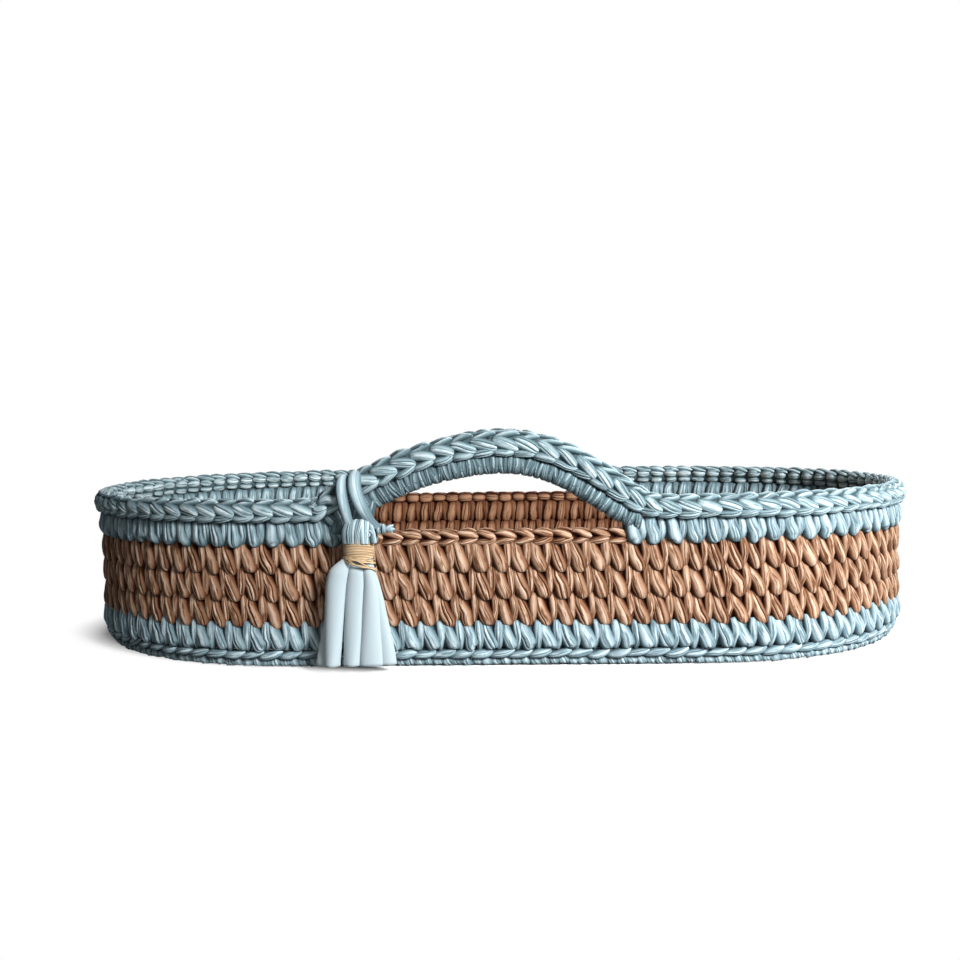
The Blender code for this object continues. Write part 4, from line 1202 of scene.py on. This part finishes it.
# Each frayed end: (reach past the knot, rise, half width), and the half widths at its root and tip.
frayed_ends = (
    (0.0080, 0.0032, 0.0018), (0.0092, -0.0002, 0.0021), (0.0072, -0.0030, 0.0014), (0.0060, 0.0012, 0.0013),
)
frayed_root, frayed_tip = 0.0010, 0.0004
frayed_bulge, frayed_drop, frayed_flatness = 0.0012, 0.0010, 0.45


def add_cord():
    x = np.linspace(*cord_reach, 20)
    centre = np.stack([tassel_x + x, np.full(20, tassel_y), np.full(20, cord_height)], 1)[None]
    cord = yarn(centre, np.array([0.0, -1.0, 0.0]), cord_half, cord_half, 0.3)
    item = yarn_object("tassel_cord_yarn", [cord], blue_yarn)
    fasten(item, "basket", ["tassel_cord"])


def add_knot():
    groups = []
    turn = np.linspace(0, 2 * math.pi, 15)[:-1]
    for x, lean, radius in knot_turns:
        centre = np.stack([
            tassel_x + x + lean * np.cos(turn), tassel_y + radius * np.cos(turn),
            cord_height - knot_drop + radius * knot_stretch * np.sin(turn),
        ], 1)[None]
        facing = np.stack([np.zeros(len(turn)), np.cos(turn), np.sin(turn)], 1)[None]
        groups.append(yarn(centre, facing, knot_half_width, knot_half_depth, 0.6, cyclic=True))
    t = np.linspace(0, 1, 10)
    for reach, rise, half in frayed_ends:
        centre = np.stack([
            tassel_x + tail_start + reach * t, tassel_y - frayed_bulge * np.sin(math.pi * t),
            cord_height - frayed_drop + rise * t**1.4,
        ], 1)[None]
        width = np.interp(t, (0, 0.3, 0.7, 1), (frayed_root, half, half * 1.1, frayed_tip))[None]
        groups.append(yarn(centre, np.array([0.0, -1.0, 0.2]), width, width * frayed_flatness, 0.6))
    item = yarn_object("cord_knot_and_tail", groups, shaded_strand_strip)
    fasten(item, "basket", ["tassel_knot"])


add_cord()
add_knot()

# Tassel's head. The six strips of pale jersey are folded over the cord side by side. The fold stands above the
# binding in soft pleats, and at its right a strip's edge curls up.
neck_height = 0.11096
head_height = 0.0150
head_half_width = 0.0128
head_half_depth = 0.0074
head_middle = 0.0014
head_pleats = 7
pleat_half_width, pleat_half_depth = 0.0026, 0.0030
# A pleat from front to back: (out, up), in shares of the head's half depth and height.
pleat_profile = (
    (-0.86, -0.10), (-0.98, 0.16), (-1.04, 0.42), (-0.90, 0.70), (-0.52, 0.93), (0.0, 1.00), (0.52, 0.93),
    (0.86, 0.66), (0.92, 0.30), (0.80, -0.10),
)
curl_turns = 1.1
curl_x, curl_y, curl_up = 0.0092, -0.0072, 0.0062
curl_start, curl_shrink = 0.0036, 0.0026
curl_half_width, curl_half_depth = 0.0011, 0.0016
# Painted shade: the head is a darker copy of the pale jersey, with lighter shade painted in its creases.
shaded_head_ridge = (0.62, 0.72, 0.75, 1.0)
head_crease_shade = (0.13, 0.20, 0.23, 1.0)
shaded_head_strip = make_yarn("shaded_folded_jersey_strip", shaded_head_ridge, head_crease_shade, streak_shade=0.15, strength=0.2, sheen=0.2)


def head_pleat(i):
    """A pleat comes up in front, goes over the cord and down behind. Those at the head's sides are smaller."""
    u = -1 + (2 * i + 1) / head_pleats + rng.normal(0, 0.05)
    sway = rng.normal(0, 0.22)
    dome = math.sqrt(max(0.0, 1 - u * u))
    # The pleats draw in towards the crown. The outer ones stand less far forward and less high.
    route = []
    for out, up in pleat_profile:
        narrow = 0.93 + 0.07 * math.sin(math.pi * min(1, max(0, up))) - 0.16 * max(0, up - 0.6)
        route.append((
            tassel_x + head_middle + head_half_width * np.clip(u * narrow + sway * (up - 0.4), -1, 1),
            tassel_y + head_half_depth * out * (0.30 + 0.70 * dome),
            neck_height + head_height * up * (0.74 + 0.26 * dome if up > 0 else 1),
        ))
    centre = smooth_through(np.array([route]), np.linspace(0, 1, 30))
    facing = centre - np.array([tassel_x + head_middle, tassel_y, neck_height + 0.45 * head_height])
    width = pleat_half_width * (1 + 0.55 * rng.random())
    return yarn(centre, unit(facing), width, pleat_half_depth, 0.6)


def add_head():
    groups = [head_pleat(i) for i in range(head_pleats)]
    t = np.linspace(0, 1, 40)
    turn, radius = 2 * curl_turns * math.pi * t, curl_start - curl_shrink * t
    curl = np.stack([
        tassel_x + curl_x + radius * np.cos(turn), np.full(len(t), tassel_y + curl_y) - 0.0010 * t,
        neck_height + curl_up + radius * np.sin(turn),
    ], 1)[None]
    groups.append(yarn(curl, np.array([0.2, -1.0, 0.0]), curl_half_width, curl_half_depth, 0.3))
    item = yarn_object("tassel_head_pleats", groups, shaded_head_strip)
    fasten(item, "tassel", ["tassel_head"])


add_head()

# Tassel's binding. Gold thread is wound round the neck in one close helix, and holds the folded strips
# together. Its last turns lie loose and hang lower to the right.
gold_ridge = (0.78, 0.64, 0.46, 1.0)
# The colour of the shade painted in the gold thread's creases.
gold_crease_shade = (0.115, 0.055, 0.020, 1.0)
gold_thread = make_yarn("gold_thread", gold_ridge, gold_crease_shade, streak_shade=0.25, strength=0.3, sheen=0.0)
binding_half_width = 0.0117
binding_half_depth = 0.0082
binding_top = neck_height + 0.0030
binding_bottom = 0.0968
close_turns = 13
loose_turns = 7
steps_per_turn = 36
thread_half_width = 0.00072
thread_half_depth = 0.0006


def wound_thread(turn, z, swell):
    """A helix round the neck. It is meshed turn by turn, so that its tone may vary."""
    across, out = np.cos(turn), np.sin(turn)
    centre = np.stack([
        tassel_x + binding_half_width * swell * across, tassel_y + binding_half_depth * swell * out, z,
    ], -1)[None]
    facing = np.stack([across / binding_half_width, out / binding_half_depth, 0 * turn], -1)[None]
    groups = []
    for first in range(0, len(turn) - 2, steps_per_turn):
        here = slice(first, first + steps_per_turn + 2)
        groups.append(yarn(centre[:, here], unit(facing[:, here]), thread_half_width, thread_half_depth, 0.15))
    return groups


def add_binding():
    # The close turns swell a little over the neck and are widest at its top.
    share = np.linspace(0, 1, close_turns * steps_per_turn)
    turn = 2 * math.pi * close_turns * share
    swell = 1 + 0.03 * np.sin(math.pi * share) + 0.07 * (1 - share) ** 2
    groups = wound_thread(turn, binding_top - (binding_top - binding_bottom) * share, swell)
    # The loose turns slope down to the right, each further than the one before.
    share = np.linspace(0, 1, loose_turns * steps_per_turn)
    turn = 2 * math.pi * loose_turns * share
    slope = (1 + np.cos(turn - 0.35 + 0.5 * np.sin(3 * share * math.pi))) / 2
    z = binding_bottom + 0.0006 - (0.0015 + 0.0105 * share) * slope - 0.0012 * np.sin(2.7 * turn)
    groups += wound_thread(turn, z, 1.045 + 0.24 * share * slope)
    item = yarn_object("gold_binding_thread", groups, gold_thread)
    fasten(item, "tassel", ["tassel_binding"])


add_binding()

# Tassel's skirt. Six strips of pale jersey hang from the binding, three before and three behind. Their cut
# edges turn back, which rounds them like columns.
hem_height = 0.00666
strip_top = 0.0990
strip_thickness = 0.0011
strip_rows, strip_columns = 40, 28
pale_strip = make_yarn("pale_jersey_strip", pale_ridge, pale_crease_shade, streak_shade=0.05, strength=0.12, sheen=0.4)
strip_falls = (0.0, 0.12, 0.25, 0.40, 0.55, 0.70, 0.85, 1.0)
# Each strip, in mm: left and right edge from the tassel's middle at those falls, depth at both ends, fullness.
strips = (
    (
        "tassel_strip_back_middle", (-5, -7, -9, -10, -11, -12, -12, -12), (5, 7, 8, 9, 9, 10, 10, 10),
        (1.0, 1.6), 2.0,
    ),
    (
        "tassel_strip_back_left", (-10.5, -19, -24, -26.5, -29, -32, -35.2, -38),
        (-3, -10, -12, -14, -15, -16, -17, -18), (0.8, 1.6), 5.0,
    ),
    (
        "tassel_strip_back_right", (4, 6, 9, 10, 11, 12, 13, 14),
        (11.0, 12.4, 16.2, 19.6, 22.2, 25, 27.6, 29.4), (0.8, 1.6), 5.0,
    ),
    (
        "tassel_strip_front_middle", (-5, -8, -10, -11.2, -12, -12.8, -13.4, -14),
        (4, 5, 4.8, 3.5, 2.4, 1.6, 0.4, -0.8), (-2.4, -2.2), 5.6,
    ),
    (
        "tassel_strip_front_left", (-10.2, -23, -26.9, -27.8, -28.7, -29.5, -30.1, -30.3),
        (-3.0, -6.9, -9.6, -11.6, -13.1, -14.5, -15.9, -17.3), (-1.6, -2.2), 7.4,
    ),
    (
        "tassel_strip_front_right", (2.5, 3.4, 3.9, 2.8, 1.8, 1.0, 0, -0.5),
        (9.6, 12.0, 14.6, 16, 16.8, 17.2, 17.9, 18.3), (-2.0, -2.0), 5.4,
    ),
)


def strip_edge(values, fall):
    """An edge's distance from the tassel's middle at each fall, along a smooth line through its values."""
    points = np.array([[(value, 0, 0) for value in values]])
    share = np.interp(fall, strip_falls, np.linspace(0, 1, len(strip_falls)))
    return smooth_through(points, share)[0, :, 0, None]


def add_strip(name, left, right, depths, fullness):
    fall = np.linspace(0, 1, strip_rows)
    xl, xr = strip_edge(left, fall), strip_edge(right, fall)
    fullness = fullness * np.interp(fall, (0, 0.15, 1), (0.1, 0.85, 1))[:, None]
    depth = np.interp(fall, (0, 0.3, 1), (depths[0], sum(depths) / 2, depths[1]))[:, None]
    u, fall = np.linspace(-1, 1, strip_columns), fall[:, None]
    # The cloth rounds forward between its edges, and both edges turn back under.
    x = (xl + xr) / 2 + (xr - xl) / 2 * np.sin(u * math.pi / 2 * 0.97)
    wave = 0.35 * np.sin(3.1 * u + 5 * fall + rng.random() * 6) * fall
    y = depth - fullness * np.cos(u * math.pi / 2) ** 0.9 + wave
    z = strip_top - (strip_top - hem_height) * fall + 0.0004 * np.sin(2 * u + 1)
    middle = np.stack([tassel_x + x / 1000, tassel_y + y / 1000, np.broadcast_to(z, x.shape)], -1)
    across, down = np.gradient(middle, axis=1), np.gradient(middle, axis=0)
    normal = np.cross(across, down)
    thick = unit(normal) * (strip_thickness / 2 * np.minimum(1, 6 * (1 - np.abs(u)) + 0.35))[:, None]
    section = np.concatenate((middle + thick, (middle - thick)[:, ::-1]), 1)[None]
    # Shade is painted at each strip's edges, where it turns under, and half shade all over its back.
    edge = np.abs(np.concatenate((u, u[::-1])))
    shade = np.clip((edge - 0.80) * 3.8, 0, 0.9) + np.zeros(section.shape[:3])
    shade[:, :, strip_columns:] = 0.5
    strand = np.stack([section[..., 0], -section[..., 2], np.full(section.shape[:3], 0.6)], -1)
    cloth = {"place": section, "shade": shade, "strand": strand, "cyclic": False}
    item = yarn_object(name.replace("strip", "jersey"), [cloth], pale_strip)
    fasten(item, "tassel", [name])


for strip in strips:
    add_strip(*strip)
